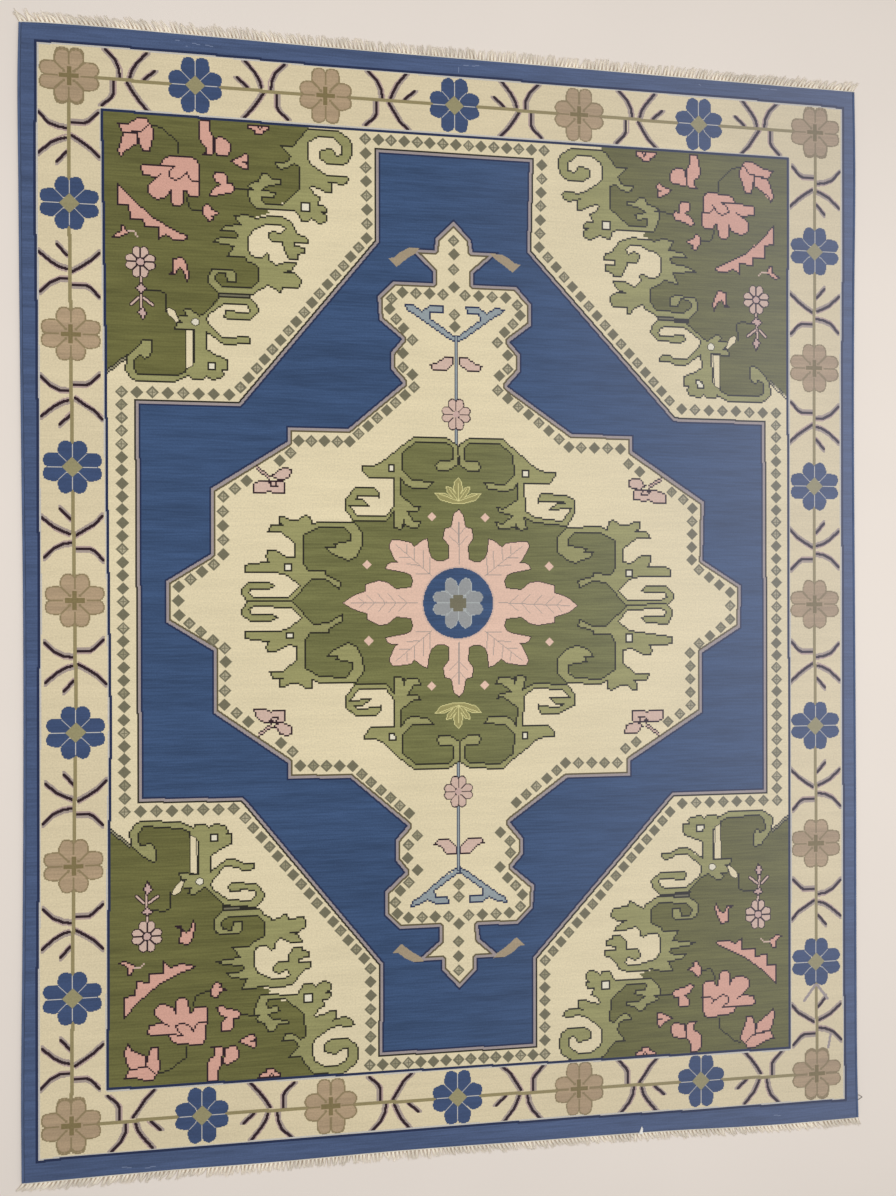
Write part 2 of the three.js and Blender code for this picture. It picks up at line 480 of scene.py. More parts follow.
class Finish:
    """A shader in the making: each call adds one node and returns its output."""

    FIBRE_SHEEN_ROUGHNESS = 0.6
    FIBRE_GLOSS = 0.15

    def __init__(self, name: str, roughness: float, sheen: float) -> None:
        """Starts a matt material.

        Args:
            name: name of the material.
            roughness: roughness of its yarn.
            sheen: how much soft light its fibres catch.
        """
        self.material = bpy.data.materials.new(name)
        self.material.use_nodes = True
        self.tree = self.material.node_tree
        self.surface = self.tree.nodes["Principled BSDF"]
        self.surface.inputs["Roughness"].default_value = roughness
        self.surface.inputs["Sheen Weight"].default_value = sheen
        self.surface.inputs["Sheen Roughness"].default_value = self.FIBRE_SHEEN_ROUGHNESS
        self.surface.inputs["Specular IOR Level"].default_value = self.FIBRE_GLOSS
        self.place = self.tree.nodes.new("ShaderNodeTexCoord").outputs["Object"]

    def set(self, node: bpy.types.Node, name: str | int, value: object) -> None:
        """Links a socket to an output, or gives it a plain value.

        Args:
            node: the node that has the socket.
            name: the socket's name or number.
            value: an output, a number or a colour.
        """
        if isinstance(value, Socket):
            self.tree.links.new(value, node.inputs[name])
        else:
            node.inputs[name].default_value = value

    def scaled(self, across: float, along: float) -> Socket:
        """Stretches the object's own coordinates.

        Args:
            across: scale across the rug.
            along: scale along it.

        Returns:
            The stretched coordinates.
        """
        node = self.tree.nodes.new("ShaderNodeMapping")
        self.tree.links.new(self.place, node.inputs["Vector"])
        node.inputs["Scale"].default_value = (across, along, 1.0)
        return node.outputs["Vector"]

    def noise(self, place: Socket, scale: float, detail: float) -> Socket:
        """Adds noise.

        Args:
            place: the coordinates that it reads.
            scale: its scale.
            detail: how many finer layers it has.

        Returns:
            Its grey value.
        """
        node = self.tree.nodes.new("ShaderNodeTexNoise")
        self.set(node, "Vector", place)
        self.set(node, "Scale", scale)
        self.set(node, "Detail", detail)
        return node.outputs["Fac"]

    def maths(self, kind: str, first: object, second: object) -> Socket:
        """Adds a step of arithmetic.

        Args:
            kind: Blender's name of the operation.
            first: its first value.
            second: its second value.

        Returns:
            The result.
        """
        node = self.tree.nodes.new("ShaderNodeMath")
        node.operation = kind
        self.set(node, 0, first)
        self.set(node, 1, second)
        return node.outputs[0]

    def spread(self, value: object, low: float, high: float, start: float, end: float) -> Socket:
        """Moves a value smoothly from one range to another.

        Args:
            value: the value.
            low: low end of its range.
            high: high end of its range.
            start: what the low end becomes.
            end: what the high end becomes.

        Returns:
            The moved value.
        """
        node = self.tree.nodes.new("ShaderNodeMapRange")
        node.interpolation_type = "SMOOTHSTEP"
        for name, setting in enumerate((value, low, high, start, end)):
            self.set(node, name, setting)
        return node.outputs[0]

    def toned(self, colour: object, value: object) -> Socket:
        """Makes a colour lighter or darker.

        Args:
            colour: the colour.
            value: its new lightness, where 1 leaves it as it is.

        Returns:
            The new colour.
        """
        node = self.tree.nodes.new("ShaderNodeHueSaturation")
        self.set(node, "Color", colour)
        self.set(node, "Value", value)
        return node.outputs["Color"]

    # Painted sheen: mixes a pale haze into the colour, more towards the rug's right side
    def with_painted_sheen(self, colour: object, painted_sheen: PaintedSheen) -> Socket:
        """Paints a pale sheen over a colour.

        Args:
            colour: the colour of the dye without the sheen.
            painted_sheen: where the painted sheen lies, and how much.

        Returns:
            The colour with the painted sheen.
        """
        place = self.tree.nodes.new("ShaderNodeSeparateXYZ")
        self.tree.links.new(self.place, place.inputs[0])
        across = self.spread(place.outputs["X"], *painted_sheen.across, 0, painted_sheen.share)
        along = self.spread(place.outputs["Y"], *painted_sheen.along, painted_sheen.weakest, painted_sheen.fullest)
        node = self.tree.nodes.new("ShaderNodeMix")
        node.data_type = "RGBA"
        self.set(node, "Factor", self.maths("MULTIPLY", across, along))
        self.set(node, 6, colour)
        self.set(node, 7, linear(painted_sheen.colour))
        return node.outputs[2]

    def attribute(self, name: str) -> tuple[Socket, Socket]:
        """Reads a colour that the mesh carries.

        Args:
            name: name of the mesh's attribute.

        Returns:
            The colour and its alpha.
        """
        node = self.tree.nodes.new("ShaderNodeAttribute")
        node.attribute_name = name
        return node.outputs["Color"], node.outputs["Alpha"]

    def finish(self, colour: object, height: Socket, depth: float) -> bpy.types.Material:
        """Sets the colour and the relief.

        Args:
            colour: colour of the surface.
            height: relief from 0 to 1.
            depth: its depth in metres.

        Returns:
            The finished material.
        """
        self.set(self.surface, "Base Color", colour)
        bump = self.tree.nodes.new("ShaderNodeBump")
        bump.inputs["Strength"].default_value = 1.0
        bump.inputs["Distance"].default_value = depth
        self.tree.links.new(height, bump.inputs["Height"])
        self.tree.links.new(bump.outputs["Normal"], self.surface.inputs["Normal"])
        return self.material


@dataclass(frozen=True)
class PileWool:
    """Clipped wool pile: dye that changes from row to row, knots and loose fibres.

    Attributes:
        row: height of a row of knots, in metres.
        streak: how much the tone of an uneven dye changes from streak to streak.
        bands: scale across and along of the broad streaks.
        threads: scale across and along of the fine ones.
        band_share: share of the broad streaks in the whole change.
        cloud_scale: scale of the slow change of tone over the rug.
        fibre_scale: scale of the loose fibres.
        painted_sheen: the pale sheen painted over the wool towards the right side.
        depth: depth of the pile's relief, in metres.
    """

    row: float = 0.005
    streak: float = 0.24
    bands: Point = (1.6, 26.0)
    threads: Point = (9.0, 190.0)
    band_share: float = 0.45
    cloud_scale: float = 2.2
    fibre_scale: float = 900.0
    painted_sheen: PaintedSheen = PaintedSheen()
    depth: float = 0.0012

    def material(self) -> bpy.types.Material:
        """Builds the material."""
        wool = Finish("wool_pile", roughness=0.95, sheen=0.08)
        dye, uneven = wool.attribute("Dye")
        band = wool.spread(wool.noise(wool.scaled(*self.bands), 1.0, 4.0), 0.32, 0.68, -1, 1)
        thread = wool.spread(wool.noise(wool.scaled(*self.threads), 1.0, 3.0), 0.3, 0.7, -1, 1)
        broad = wool.maths("MULTIPLY", band, self.band_share)
        streak = wool.maths("ADD", broad, wool.maths("MULTIPLY", thread, 1 - self.band_share))
        change = wool.maths("MULTIPLY", wool.maths("MULTIPLY", streak, uneven), self.streak)
        tone = wool.maths("ADD", change, 1)
        cloud = wool.noise(wool.scaled(1.0, 1.0), self.cloud_scale, 3.0)
        fibre = wool.noise(wool.scaled(1.0, 1.4), self.fibre_scale, 2.0)
        tuft = wool.noise(wool.scaled(1.0, 1.0), 1.0 / self.row, 1.0)
        for grey, part in ((cloud, 0.03), (fibre, 0.06), (tuft, 0.06)):
            tone = wool.maths("MULTIPLY", tone, wool.spread(grey, 0.27, 0.73, 1 - part, 1 + part))
        height = wool.maths("ADD", wool.maths("MULTIPLY", fibre, 0.5), wool.maths("MULTIPLY", tuft, 0.5))
        # The dye gets a pale painted sheen towards the rug's right side
        return wool.finish(wool.with_painted_sheen(wool.toned(dye, tone), self.painted_sheen), height, self.depth)


@dataclass(frozen=True)
class SpunYarn:
    """Spun yarn of one colour, wrapped, plied or loose.

    Attributes:
        name: name of the material.
        colour: its colour, as sRGB bytes, or none where the mesh carries it.
        uneven: how much its tone changes.
        cloud_scale: scale of that change.
        fibre_scale: scale of its fibres.
        depth: depth of their relief, in metres.
    """

    name: str
    colour: Colour | None = None
    uneven: float = 0.12
    cloud_scale: float = 14.0
    fibre_scale: float = 1500.0
    depth: float = 0.0005

    def material(self) -> bpy.types.Material:
        """Builds the material."""
        yarn = Finish(self.name, roughness=0.92, sheen=0.15)
        cloud = yarn.noise(yarn.scaled(1.0, 1.0), self.cloud_scale, 3.0)
        fibre = yarn.noise(yarn.scaled(1.0, 1.0), self.fibre_scale, 2.0)
        tone = yarn.spread(cloud, 0.3, 0.7, 1 - self.uneven, 1 + self.uneven)
        tone = yarn.maths("MULTIPLY", tone, yarn.spread(fibre, 0.25, 0.75, 0.9, 1.1))
        colour = linear(self.colour) if self.colour else yarn.attribute("Dye")[0]
        return yarn.finish(yarn.toned(colour, tone), fibre, self.depth)


@dataclass(frozen=True)
class PileMap:
    """Where the faces of the pile lie on its flat map, whose sides are 1 long.

    Attributes:
        top_scale: map units for a metre of the top.
        top_middle: where the middle of the top lies.
        under_scale: map units for a metre of the underside.
        under_middle: where the middle of the underside lies.
        side_left: left end of the strip for the sides.
        side_width: its width.
        side_foot: its lower end.
        side_length: its length.
    """

    top_scale: float = 0.288
    top_middle: Point = (0.385, 0.5)
    under_scale: float = 0.07
    under_middle: Point = (0.885, 0.14)
    side_left: float = 0.78
    side_width: float = 0.2
    side_foot: float = 0.3
    side_length: float = 0.69

    def top(self, places: np.ndarray) -> np.ndarray:
        """Maps places of the top, in mm."""
        return places * self.top_scale * MM + self.top_middle

    def under(self, places: np.ndarray) -> np.ndarray:
        """Maps places of the underside, in mm."""
        return places * self.under_scale * MM + self.under_middle

    def side(self, ring: int, rings: int, count: int) -> np.ndarray:
        """Maps one ring of the sides.

        Args:
            ring: the ring's number, from the top.
            rings: how many there are.
            count: faces in a ring.

        Returns:
            Four places for each face.
        """
        near, far = (self.side_left + self.side_width * (ring + shift) / rings for shift in (0, 1))
        low = self.side_foot + self.side_length * np.arange(count) / count
        high = low + self.side_length / count
        sides = ((near, low), (far, low), (far, high), (near, high))
        return np.stack([np.column_stack([np.full(count, u), v]) for u, v in sides], axis=1)


@dataclass
class Pile:
    """The knotted pile: one closed sheet, cut wherever one dye meets another.

    Attributes:
        chart: the weaver's chart.
        height: height of the clipped wool, in mm.
        shoulder: radius of its upper edge, in mm.
        step: length of a stretch of the edge, in mm.
        rings: steps round the shoulder.
        map: where its faces lie on its flat map.
    """

    chart: Chart
    height: float = PILE_HEIGHT
    shoulder: float = 2.5
    step: float = 20.0
    rings: int = 4
    map: PileMap = PileMap()

    def edge(self, inset: float) -> np.ndarray:
        """Walks round the pile's edge.

        Args:
            inset: distance inwards from the edge, in mm.

        Returns:
            Places in mm, anticlockwise from the lower left corner.
        """
        half_x = HALF_WIDTH - SELVEDGE_WIDTH - PIECE_GAP
        across = np.linspace(-1, 1, int(2 * half_x / self.step) + 1)[:-1]
        along = np.linspace(-1, 1, int(RUG_LENGTH / self.step) + 1)[:-1]
        x = np.concatenate([across, np.ones(len(along)), -across, -np.ones(len(along))])
        y = np.concatenate([-np.ones(len(across)), along, np.ones(len(across)), -along])
        return np.stack(lay(x * (half_x - inset), y * (HALF_LENGTH - inset)), axis=1)

    def cut(self, rim: np.ndarray) -> tuple[np.ndarray, np.ndarray, np.ndarray]:
        """Cuts the flat top into triangles along every seam between dyes.

        Args:
            rim: the top's outer edge, in mm.

        Returns:
            Points in mm, triangles, and the number of each rim point among them.
        """
        corners, stretches = self.chart.seams()
        places = [Vector(p) for p in np.concatenate([rim, corners])]
        edges = [(i, (i + 1) % len(rim)) for i in range(len(rim))]
        edges += [tuple(pair) for pair in (stretches + len(rim)).tolist()]
        points, _, faces, sources, _, _ = delaunay_2d_cdt(places, edges, [], 0, WELD)
        number = {source: i for i, group in enumerate(sources) for source in group}
        points = np.array([tuple(p) for p in points])
        faces = np.array([tuple(face) for face in faces])
        kept = inside_of(rim, points[faces].mean(axis=1))
        return points, faces[kept], np.array([number[i] for i in range(len(rim))])

    def build(self) -> bpy.types.Object:
        """Makes the pile, closed underneath, with its dyes and its map."""
        shape = Shape()
        rim = self.edge(self.shoulder)
        points, faces, ring = self.cut(rim)
        palette = np.array([(*linear(dye.value)[:3], dye.uneven) for dye in Dye])
        blue = palette[Dye.BAND_BLUE.number]
        count = len(rim)
        ahead = (np.arange(count) + 1) % count
        shape.add_points(np.column_stack([points, np.full(len(points), self.height)]))
        dyes = self.chart.dyes_at(points[faces].mean(axis=1))
        shape.add_faces(faces, palette[dyes], self.map.top(points[faces]))
        for step in range(self.rings - 1, -2, -1):
            angle = math.pi / 2 * max(step, 0) / self.rings
            z = self.height - self.shoulder * (1 - math.sin(angle)) if step >= 0 else 0.0
            loop = self.edge(self.shoulder * (1 - math.cos(angle)))
            lower = shape.add_points(np.column_stack([loop, np.full(count, z)])) + np.arange(count)
            quads = np.column_stack([ring, lower, lower[ahead], ring[ahead]])
            side = self.map.side(self.rings - 1 - step, self.rings + 1, count)
            shape.add_faces(quads, np.tile(blue, (count, 1)), side)
            ring = lower
        base = self.edge(0.0)
        middle = shape.add_points(np.array([[0.0, 0.0, 0.0]]))
        fan = np.column_stack([ring[ahead], ring, np.full(count, middle)])
        under = np.stack([base[ahead], base, np.zeros((count, 2))], axis=1)
        shape.add_faces(fan, np.tile(blue, (count, 1)), self.map.under(under))
        piece = shape.build("rug_pile")
        piece.data.materials.append(PileWool().material())
        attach(piece, "root")
        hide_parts("pile")
        return piece


def inside_of(loop: np.ndarray, places: np.ndarray) -> np.ndarray:
    """Tells which places lie inside a closed loop.

    Args:
        loop: points of the loop.
        places: the places, one a row.

    Returns:
        One truth value a place.
    """
    inside = np.zeros(len(places), bool)
    x, y = places[:, 0], places[:, 1]
    for (x0, y0), (x1, y1) in zip(loop, np.roll(loop, -1, axis=0)):
        if y0 != y1:
            inside ^= ((y0 <= y) != (y1 <= y)) & (x > x0 + (x1 - x0) * (y - y0) / (y1 - y0))
    return inside


@dataclass
class RibbedCord:
    """A cord of wrapped or twined yarn, laid flat along an edge and ribbed all its length.

    Attributes:
        width: width in mm.
        height: height in mm.
        pitch: distance from rib to rib, in mm.
        groove: depth between ribs, in mm.
        slant: how many ribs a wrap moves on from one side to the other.
        around: faces round the cord.
        rows: faces a rib.
        flatness: 1 for a round section, and less for one with a flatter top.
        crest: 1 for ribs like waves, and less for fuller ribs.
    """

    width: float
    height: float
    pitch: float
    groove: float
    slant: float = 0.5
    around: int = 10
    rows: int = 4
    flatness: float = 0.75
    crest: float = 0.6

    def build(self, name: str, path: np.ndarray) -> bpy.types.Object:
        """Makes the cord along a path.

        Args:
            name: the piece's name.
            path: the middle line, in mm on the floor, evenly spaced.

        Returns:
            The piece.
        """
        ahead = np.gradient(path, axis=0)
        ahead /= np.hypot(ahead[:, 0], ahead[:, 1])[:, None]
        side = np.column_stack([ahead[:, 1], -ahead[:, 0]])
        run = np.concatenate([[0], np.cumsum(np.hypot(*np.diff(path, axis=0).T))])
        angle = np.arange(self.around) / self.around * 2 * math.pi
        wave = np.abs(np.sin(math.pi * (run[:, None] / self.pitch + self.slant * np.cos(angle)[None, :])))
        swell = 1 - self.groove / self.height * 2 * (1 - wave ** self.crest)
        section = np.cos(angle), np.sin(angle)
        wide, tall = (np.sign(part) * np.abs(part) ** self.flatness for part in section)
        reach = wide * self.width / 2 * swell
        rise = tall * self.height / 2 * swell + self.height / 2
        x = path[:, 0, None] + side[:, 0, None] * reach
        y = path[:, 1, None] + side[:, 1, None] * reach
        shape = Shape()
        shape.add_points(np.stack([x, y, rise], axis=2).reshape(-1, 3))
        i = np.arange(len(path) - 1)[:, None] * self.around
        j = np.arange(self.around)[None, :]
        k = (j + 1) % self.around
        quads = np.stack([i + j, i + k, i + self.around + k, i + self.around + j], axis=2)
        shape.add_faces(quads.reshape(-1, 4)[:, ::-1])
        ends = np.stack([j[0], j[0] + (len(path) - 1) * self.around])
        shape.add_faces(np.stack([ends[0], ends[1][::-1]]))
        return shape.build(name)


@dataclass
class Selvedge:
    """One long side, overcast with wool.

    Attributes:
        side: -1 on the left and 1 on the right.
        height: height in mm.
        wrap: distance from wrap to wrap, in mm.
    """

    side: int
    height: float = 8.4
    wrap: float = 5.0

    def build(self) -> bpy.types.Object:
        """Makes the overcast edge."""
        name = "left" if self.side < 0 else "right"
        cord = RibbedCord(SELVEDGE_WIDTH, self.height, self.wrap, groove=0.9)
        y = np.linspace(-HALF_LENGTH, HALF_LENGTH, int(RUG_LENGTH / self.wrap * cord.rows))
        x = np.full(len(y), self.side * (HALF_WIDTH - SELVEDGE_WIDTH / 2))
        piece = cord.build(f"rug_selvedge_{name}", np.stack(lay(x, y), axis=1))
        piece.data.materials.append(SpunYarn(f"wool_overcast_{name}", (84, 101, 136)).material())
        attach(piece, "root")
        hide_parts(f"selvedge_{name}")
        return piece


@dataclass
class Yarn:
    """A loose yarn: a closed tube of a few sides.

    Attributes:
        line: points of its middle line, in mm.
        radius: radius at each point, in mm.
        colours: linear colour at each point.
        sides: faces round it.
    """

    line: np.ndarray
    radius: np.ndarray
    colours: np.ndarray
    sides: int = 5

    def add(self, shape: Shape) -> None:
        """Adds the yarn to a mesh.

        Args:
            shape: the mesh that takes it.
        """
        ahead = np.gradient(self.line, axis=0)
        ahead /= np.linalg.norm(ahead, axis=1)[:, None]
        side = np.cross(ahead, (0.0, 0.0, 1.0))
        side /= np.linalg.norm(side, axis=1)[:, None]
        up = np.cross(side, ahead)
        angle = np.arange(self.sides) / self.sides * 2 * math.pi
        cosine, sine = np.cos(angle)[None, :, None], np.sin(angle)[None, :, None]
        around = side[:, None] * cosine + up[:, None] * sine
        first = shape.add_points((self.line[:, None] + around * self.radius[:, None, None]).reshape(-1, 3))
        i = first + np.arange(len(self.line) - 1)[:, None] * self.sides
        j = np.arange(self.sides)[None, :]
        k = (j + 1) % self.sides
        quads = np.stack([i + j, i + k, i + self.sides + k, i + self.sides + j], axis=2).reshape(-1, 4)
        shape.add_faces(quads[:, ::-1], self.colours[:-1].repeat(self.sides, axis=0))
        last = first + (len(self.line) - 1) * self.sides
        shape.add_faces(np.stack([first + j[0], last + j[0][::-1]]), self.colours[[0, -1]])


@dataclass
class Fringe:
    """One end: a narrow woven band and the bundles of warp yarn that leave it.

    Attributes:
        end: 1 at the top and -1 at the bottom.
        lean: lean of the yarns in degrees along the end, tips to the right over 0.
        length: their length in mm along the end.
        pitch: distance from bundle to bundle, in mm.
        rib: distance from rib to rib of the woven band, in mm.
        band_width: width of the woven band, in mm.
        band_height: its height, in mm.
        yarns: yarns a bundle.
        width: width of a bundle at its root, in mm.
        thick: radius of a yarn at its root, in mm.
        steps: points along a yarn.
        trim: share of its length that is left after cutting.
        root_depth: how far the yarns start inside the band, in mm.
        rise: height of a bundle's middle over its sides, in mm.
        curl: share of its lean that a yarn gains on its way to the tip.
        waist: how much a bundle narrows half way, as a share.
        taper: how much thinner a yarn is at its tip, as a share.
        lean_stray: how far the lean of a bundle strays, in degrees.
        length_stray: how far its length strays, in mm.
        light: colour of the yarns on top, as sRGB bytes.
        painted_shade: colour of the painted shade at the roots of those low between two bundles.
    """

    end: int
    lean: Drift
    length: Drift
    pitch: float
    rib: float
    band_width: float = 6.0
    band_height: float = 4.4
    yarns: int = 8
    width: float = 9.0
    thick: float = 1.0
    steps: int = 6
    trim: float = 0.92
    root_depth: float = 1.5
    rise: float = 1.9
    curl: float = 0.28
    waist: float = 0.3
    taper: float = 0.65
    lean_stray: float = 4.5
    length_stray: float = 2.5
    light: Colour = (253, 244, 228)
    # Painted shade: the brown of the gaps between bundles, painted onto the outer yarns
    painted_shade: Colour = (186, 161, 132)

    def bundle(self, shape: Shape, x: float, chance: np.random.Generator) -> None:
        """Adds one flat bundle of yarns, the outer ones lower and darkened towards the root with painted
        shade.

        Args:
            shape: the mesh that takes it.
            x: the bundle's place along the end, in mm.
            chance: source of its small differences, all in mm or degrees.
        """
        root_y = self.end * (HALF_LENGTH + PIECE_GAP + self.band_width - self.root_depth)
        root = np.array(lay(np.array(x), np.array(root_y)))
        lean = math.radians(float(self.lean(x)) + chance.normal(0, self.lean_stray))
        length = float(self.length(x)) * self.trim + chance.normal(0, self.length_stray)
        s = np.linspace(0, 1, self.steps)
        bend = lean * (1 - self.curl + self.curl * s) + chance.normal(0, 0.1) * s
        light, painted_shade = np.array(linear(self.light)), np.array(linear(self.painted_shade))
        for yarn in range(self.yarns):
            place = 2 * yarn / (self.yarns - 1) - 1
            reach = length * (1 + chance.uniform(-0.2, 0.05)) * s
            fan = 1 - self.waist * s + self.waist * s ** 2
            across = self.width / 2 * place * fan + chance.normal(0, 1.2) * s ** 1.5
            x_line = root[0] + reach * np.sin(bend) + across * np.cos(bend)
            y_line = root[1] + self.end * (reach * np.cos(bend) - across * np.sin(bend))
            radius = self.thick * (1 - self.taper * s ** 1.5)
            z_line = radius + self.rise * (1 - place ** 2) * (1 - 0.7 * s) + chance.uniform(0, 0.3)
            # Painted shade: the outer yarns darken towards the root, where they lie low between two bundles
            dark = max(abs(place) - 0.5, 0) * 2 * (1 - s)
            colours = light + (painted_shade - light) * dark[:, None]
            Yarn(np.stack([x_line, y_line, z_line], axis=1), radius, colours).add(shape)

    def build(self) -> list[bpy.types.Object]:
        """Makes the band and the fringe."""
        name = "top" if self.end > 0 else "bottom"
        chance = np.random.default_rng(11 + self.end)
        shape = Shape()
        count = int(RUG_WIDTH / self.pitch)
        for i in range(count):
            x = RUG_WIDTH * ((i + 0.5) / count - 0.5) + chance.normal(0, 0.9)
            self.bundle(shape, x, chance)
        fringe = shape.build(f"rug_fringe_{name}")
        # The fringe's colours come with the mesh: the cotton's own, and painted shade low between the
        # bundles
        fringe.data.materials.append(SpunYarn(f"cotton_fringe_{name}").material())
        cord = RibbedCord(self.band_width, self.band_height, self.rib, groove=0.9, slant=0.6, around=8)
        x = np.linspace(-HALF_WIDTH, HALF_WIDTH, int(RUG_WIDTH / self.rib * cord.rows))
        y = np.full(len(x), self.end * (HALF_LENGTH + PIECE_GAP + self.band_width / 2))
        band = cord.build(f"rug_band_{name}", np.stack(lay(x, y), axis=1))
        band.data.materials.append(SpunYarn(f"cotton_band_{name}", (242, 235, 220)).material())
        for piece in (fringe, band):
            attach(piece, "root")
        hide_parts(f"fringe_{name}")
        return [fringe, band]


@dataclass
class LooseEnds:
    """A white tuft pulled out on the lower band, and a thread that curls out of the right side.

    Attributes:
        tuft: foot of the tuft, in mm.
        hairs: yarns in the tuft.
        hair: radius of one at its root, in mm.
        tall: length of the outer hairs, in mm.
        peak: how much longer the middle ones are, in mm.
        spread: half the width of the tuft's foot, in mm.
        curl: middle of the curl, in mm.
        loop: half its length and half its width, in mm.
        twist: how much its two sides differ, in mm.
        gap: how far its two ends stay apart, in radians.
        thread: radius of the thread, in mm.
    """

    tuft: Point = (556.0, -1662.0)
    hairs: int = 14
    hair: float = 1.3
    tall: float = 14.0
    peak: float = 9.0
    spread: float = 5.5
    curl: Point = (1297.0, -1608.0)
    loop: Point = (9.5, 6.0)
    twist: float = 2.5
    gap: float = 0.25
    thread: float = 0.9

    def add_tuft(self, shape: Shape) -> None:
        """Adds the tuft to a mesh.

        Args:
            shape: the mesh that takes it.
        """
        chance = np.random.default_rng(5)
        s = np.linspace(0, 1, 6)
        white = np.tile(linear((246, 244, 238)), (len(s), 1))
        for place in np.linspace(-1, 1, self.hairs):
            rise = self.tall + self.peak * (1 - abs(place)) + chance.normal(0, 1.5)
            narrowing = 1 - 0.5 * s
            x = self.tuft[0] + self.spread * place * narrowing + 4 * s ** 3 + chance.normal(0, 0.6) * s
            radius = self.hair * narrowing
            z = PILE_HEIGHT + radius + 1.2 * (1 - abs(place)) * (1 - s)
            Yarn(np.stack([x, self.tuft[1] + rise * s, z], axis=1), radius, white).add(shape)

    def add_curl(self, shape: Shape) -> None:
        """Adds the curled thread to a mesh.

        Args:
            shape: the mesh that takes it.
        """
        turn = np.linspace(self.gap, 2 * math.pi - self.gap, 24)
        x = self.curl[0] - self.loop[0] * np.cos(turn)
        y = self.curl[1] + self.loop[1] * np.sin(turn) + self.twist * np.sin(2 * turn)
        line = np.stack([x, y, np.ones(len(turn))], axis=1)
        grey = np.tile(linear((116, 111, 104)), (len(turn), 1))
        Yarn(line, np.full(len(turn), self.thread), grey).add(shape)

    def build(self) -> bpy.types.Object:
        """Makes both as one piece."""
        shape = Shape()
        self.add_tuft(shape)
        self.add_curl(shape)
        piece = shape.build("rug_loose_ends")
        piece.data.materials.append(SpunYarn("loose_ends").material())
        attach(piece, "root")
        return piece


@dataclass(frozen=True)
class Studio:
    """Plain pale floor, soft light from above, and the camera that looks down on the rug.

    Attributes:
        camera_place: where the camera stands, in metres.
        camera_turn: its turn about X, Y and Z, in radians.
        lens: focal length in mm, for a 36 mm long side.
        floor_side: side of the floor, in metres.
        floor_drop: how far the floor lies under the rug, in metres.
        floor_paint: colour of the floor, as sRGB bytes.
        sky: strength of the pale light from all round.
    """

    camera_place: tuple[float, float, float] = (-0.413616, 0.016458, 2.715747)
    camera_turn: tuple[float, float, float] = (-0.000091, -0.133206, -0.001341)
    lens: float = 27.03
    floor_side: float = 14.0
    floor_drop: float = 0.0005
    floor_paint: Colour = (238, 229, 221)
    sky: float = 0.38

    def camera(self) -> None:
        """Places the camera and makes it the scene's."""
        data = bpy.data.cameras.new("photo_camera")
        data.sensor_fit = "AUTO"
        data.sensor_width = 36.0
        data.lens = self.lens
        camera = bpy.data.objects.new("photo_camera", data)
        camera.location = self.camera_place
        camera.rotation_euler = self.camera_turn
        bpy.context.scene.collection.objects.link(camera)
        bpy.context.scene.camera = camera

    def floor(self) -> None:
        """Lays the floor."""
        bpy.ops.object.select_all(action="DESELECT")
        bpy.ops.mesh.primitive_plane_add(size=self.floor_side, location=(0, 0, -self.floor_drop))
        floor = bpy.context.active_object
        floor.name = "floor"
        finish = Finish("floor_paint", roughness=0.6, sheen=0.0)
        cloud = finish.noise(finish.scaled(1.0, 1.0), 1.5, 2.0)
        colour = finish.toned(linear(self.floor_paint), finish.spread(cloud, 0.2, 0.8, 0.985, 1.015))
        floor.data.materials.append(finish.finish(colour, cloud, 0.0001))

    def lamp(self, name: str, place: tuple[float, float, float], size: Point, power: float) -> None:
        """Sets one soft lamp that faces the rug's middle.

        Args:
            name: name of the lamp.
            place: where it hangs, in metres.
            size: its sides, in metres.
            power: its power in watts.
        """
        lamp = bpy.data.lights.new(name, "AREA")
        lamp.shape = "RECTANGLE"
        lamp.size, lamp.size_y = size
        lamp.energy = power
        lamp.color = (1.0, 0.985, 0.965)
        softbox = bpy.data.objects.new(name, lamp)
        softbox.location = place
        softbox.rotation_euler = (-Vector(place)).to_track_quat("-Z", "Y").to_euler()
        bpy.context.scene.collection.objects.link(softbox)

    def light(self) -> None:
        """Sets a wide soft lamp over the rug, one to its right and a pale sky round it."""
        self.lamp("ceiling_lamp", (-0.4, 0.2, 4.2), (5.0, 6.0), 132.0)
        self.lamp("side_lamp", (3.6, 0.2, 2.9), (2.0, 5.0), 44.0)
        world = bpy.data.worlds.new("studio")
        bpy.context.scene.world = world
        world.use_nodes = True
        world.node_tree.nodes["Background"].inputs["Color"].default_value = (1.0, 0.99, 0.975, 1)
        world.node_tree.nodes["Background"].inputs["Strength"].default_value = self.sky
        bpy.context.scene.view_settings.view_transform = "Standard"


# The edges of the border, to the middle of the navy line along each
GUARD_LINE = [
    (-311, 404.6), (-290, 405.3), (-200, 404.7), (-104, 403.3), (0, 402.9), (91, 402.7), (189, 402.3),
    (287, 401.5), (311, 400.7), (311, 283), (309.8, 188), (309.8, 93), (310.3, -2), (310.5, -100),
    (311, -195), (311.5, -290), (312.5, -404), (288, -403.3), (190, -402.3), (90, -400.5), (-6, -399.8),
    (-101, -399.8), (-195, -400), (-290, -400.2), (-311, -401), (-311, -285), (-310, -190), (-309.8, -93),
    (-309, 2), (-310, 100), (-310.5, 195), (-311.5, 289),
]
INNER_LINE = [
    (-265, 358.4), (-130, 356.9), (0, 356.8), (130, 356.6), (263.3, 356.3), (263, 180), (263.4, 90),
    (263.5, 0), (263.9, -90), (264.2, -180), (264.1, -358.2), (130, -356.4), (0, -354.6), (-130, -353.6),
    (-230, -352.7), (-262, -352.3), (-260.8, -180), (-259.6, -90), (-260.6, 0), (-262, 90), (-262.8, 180),
]

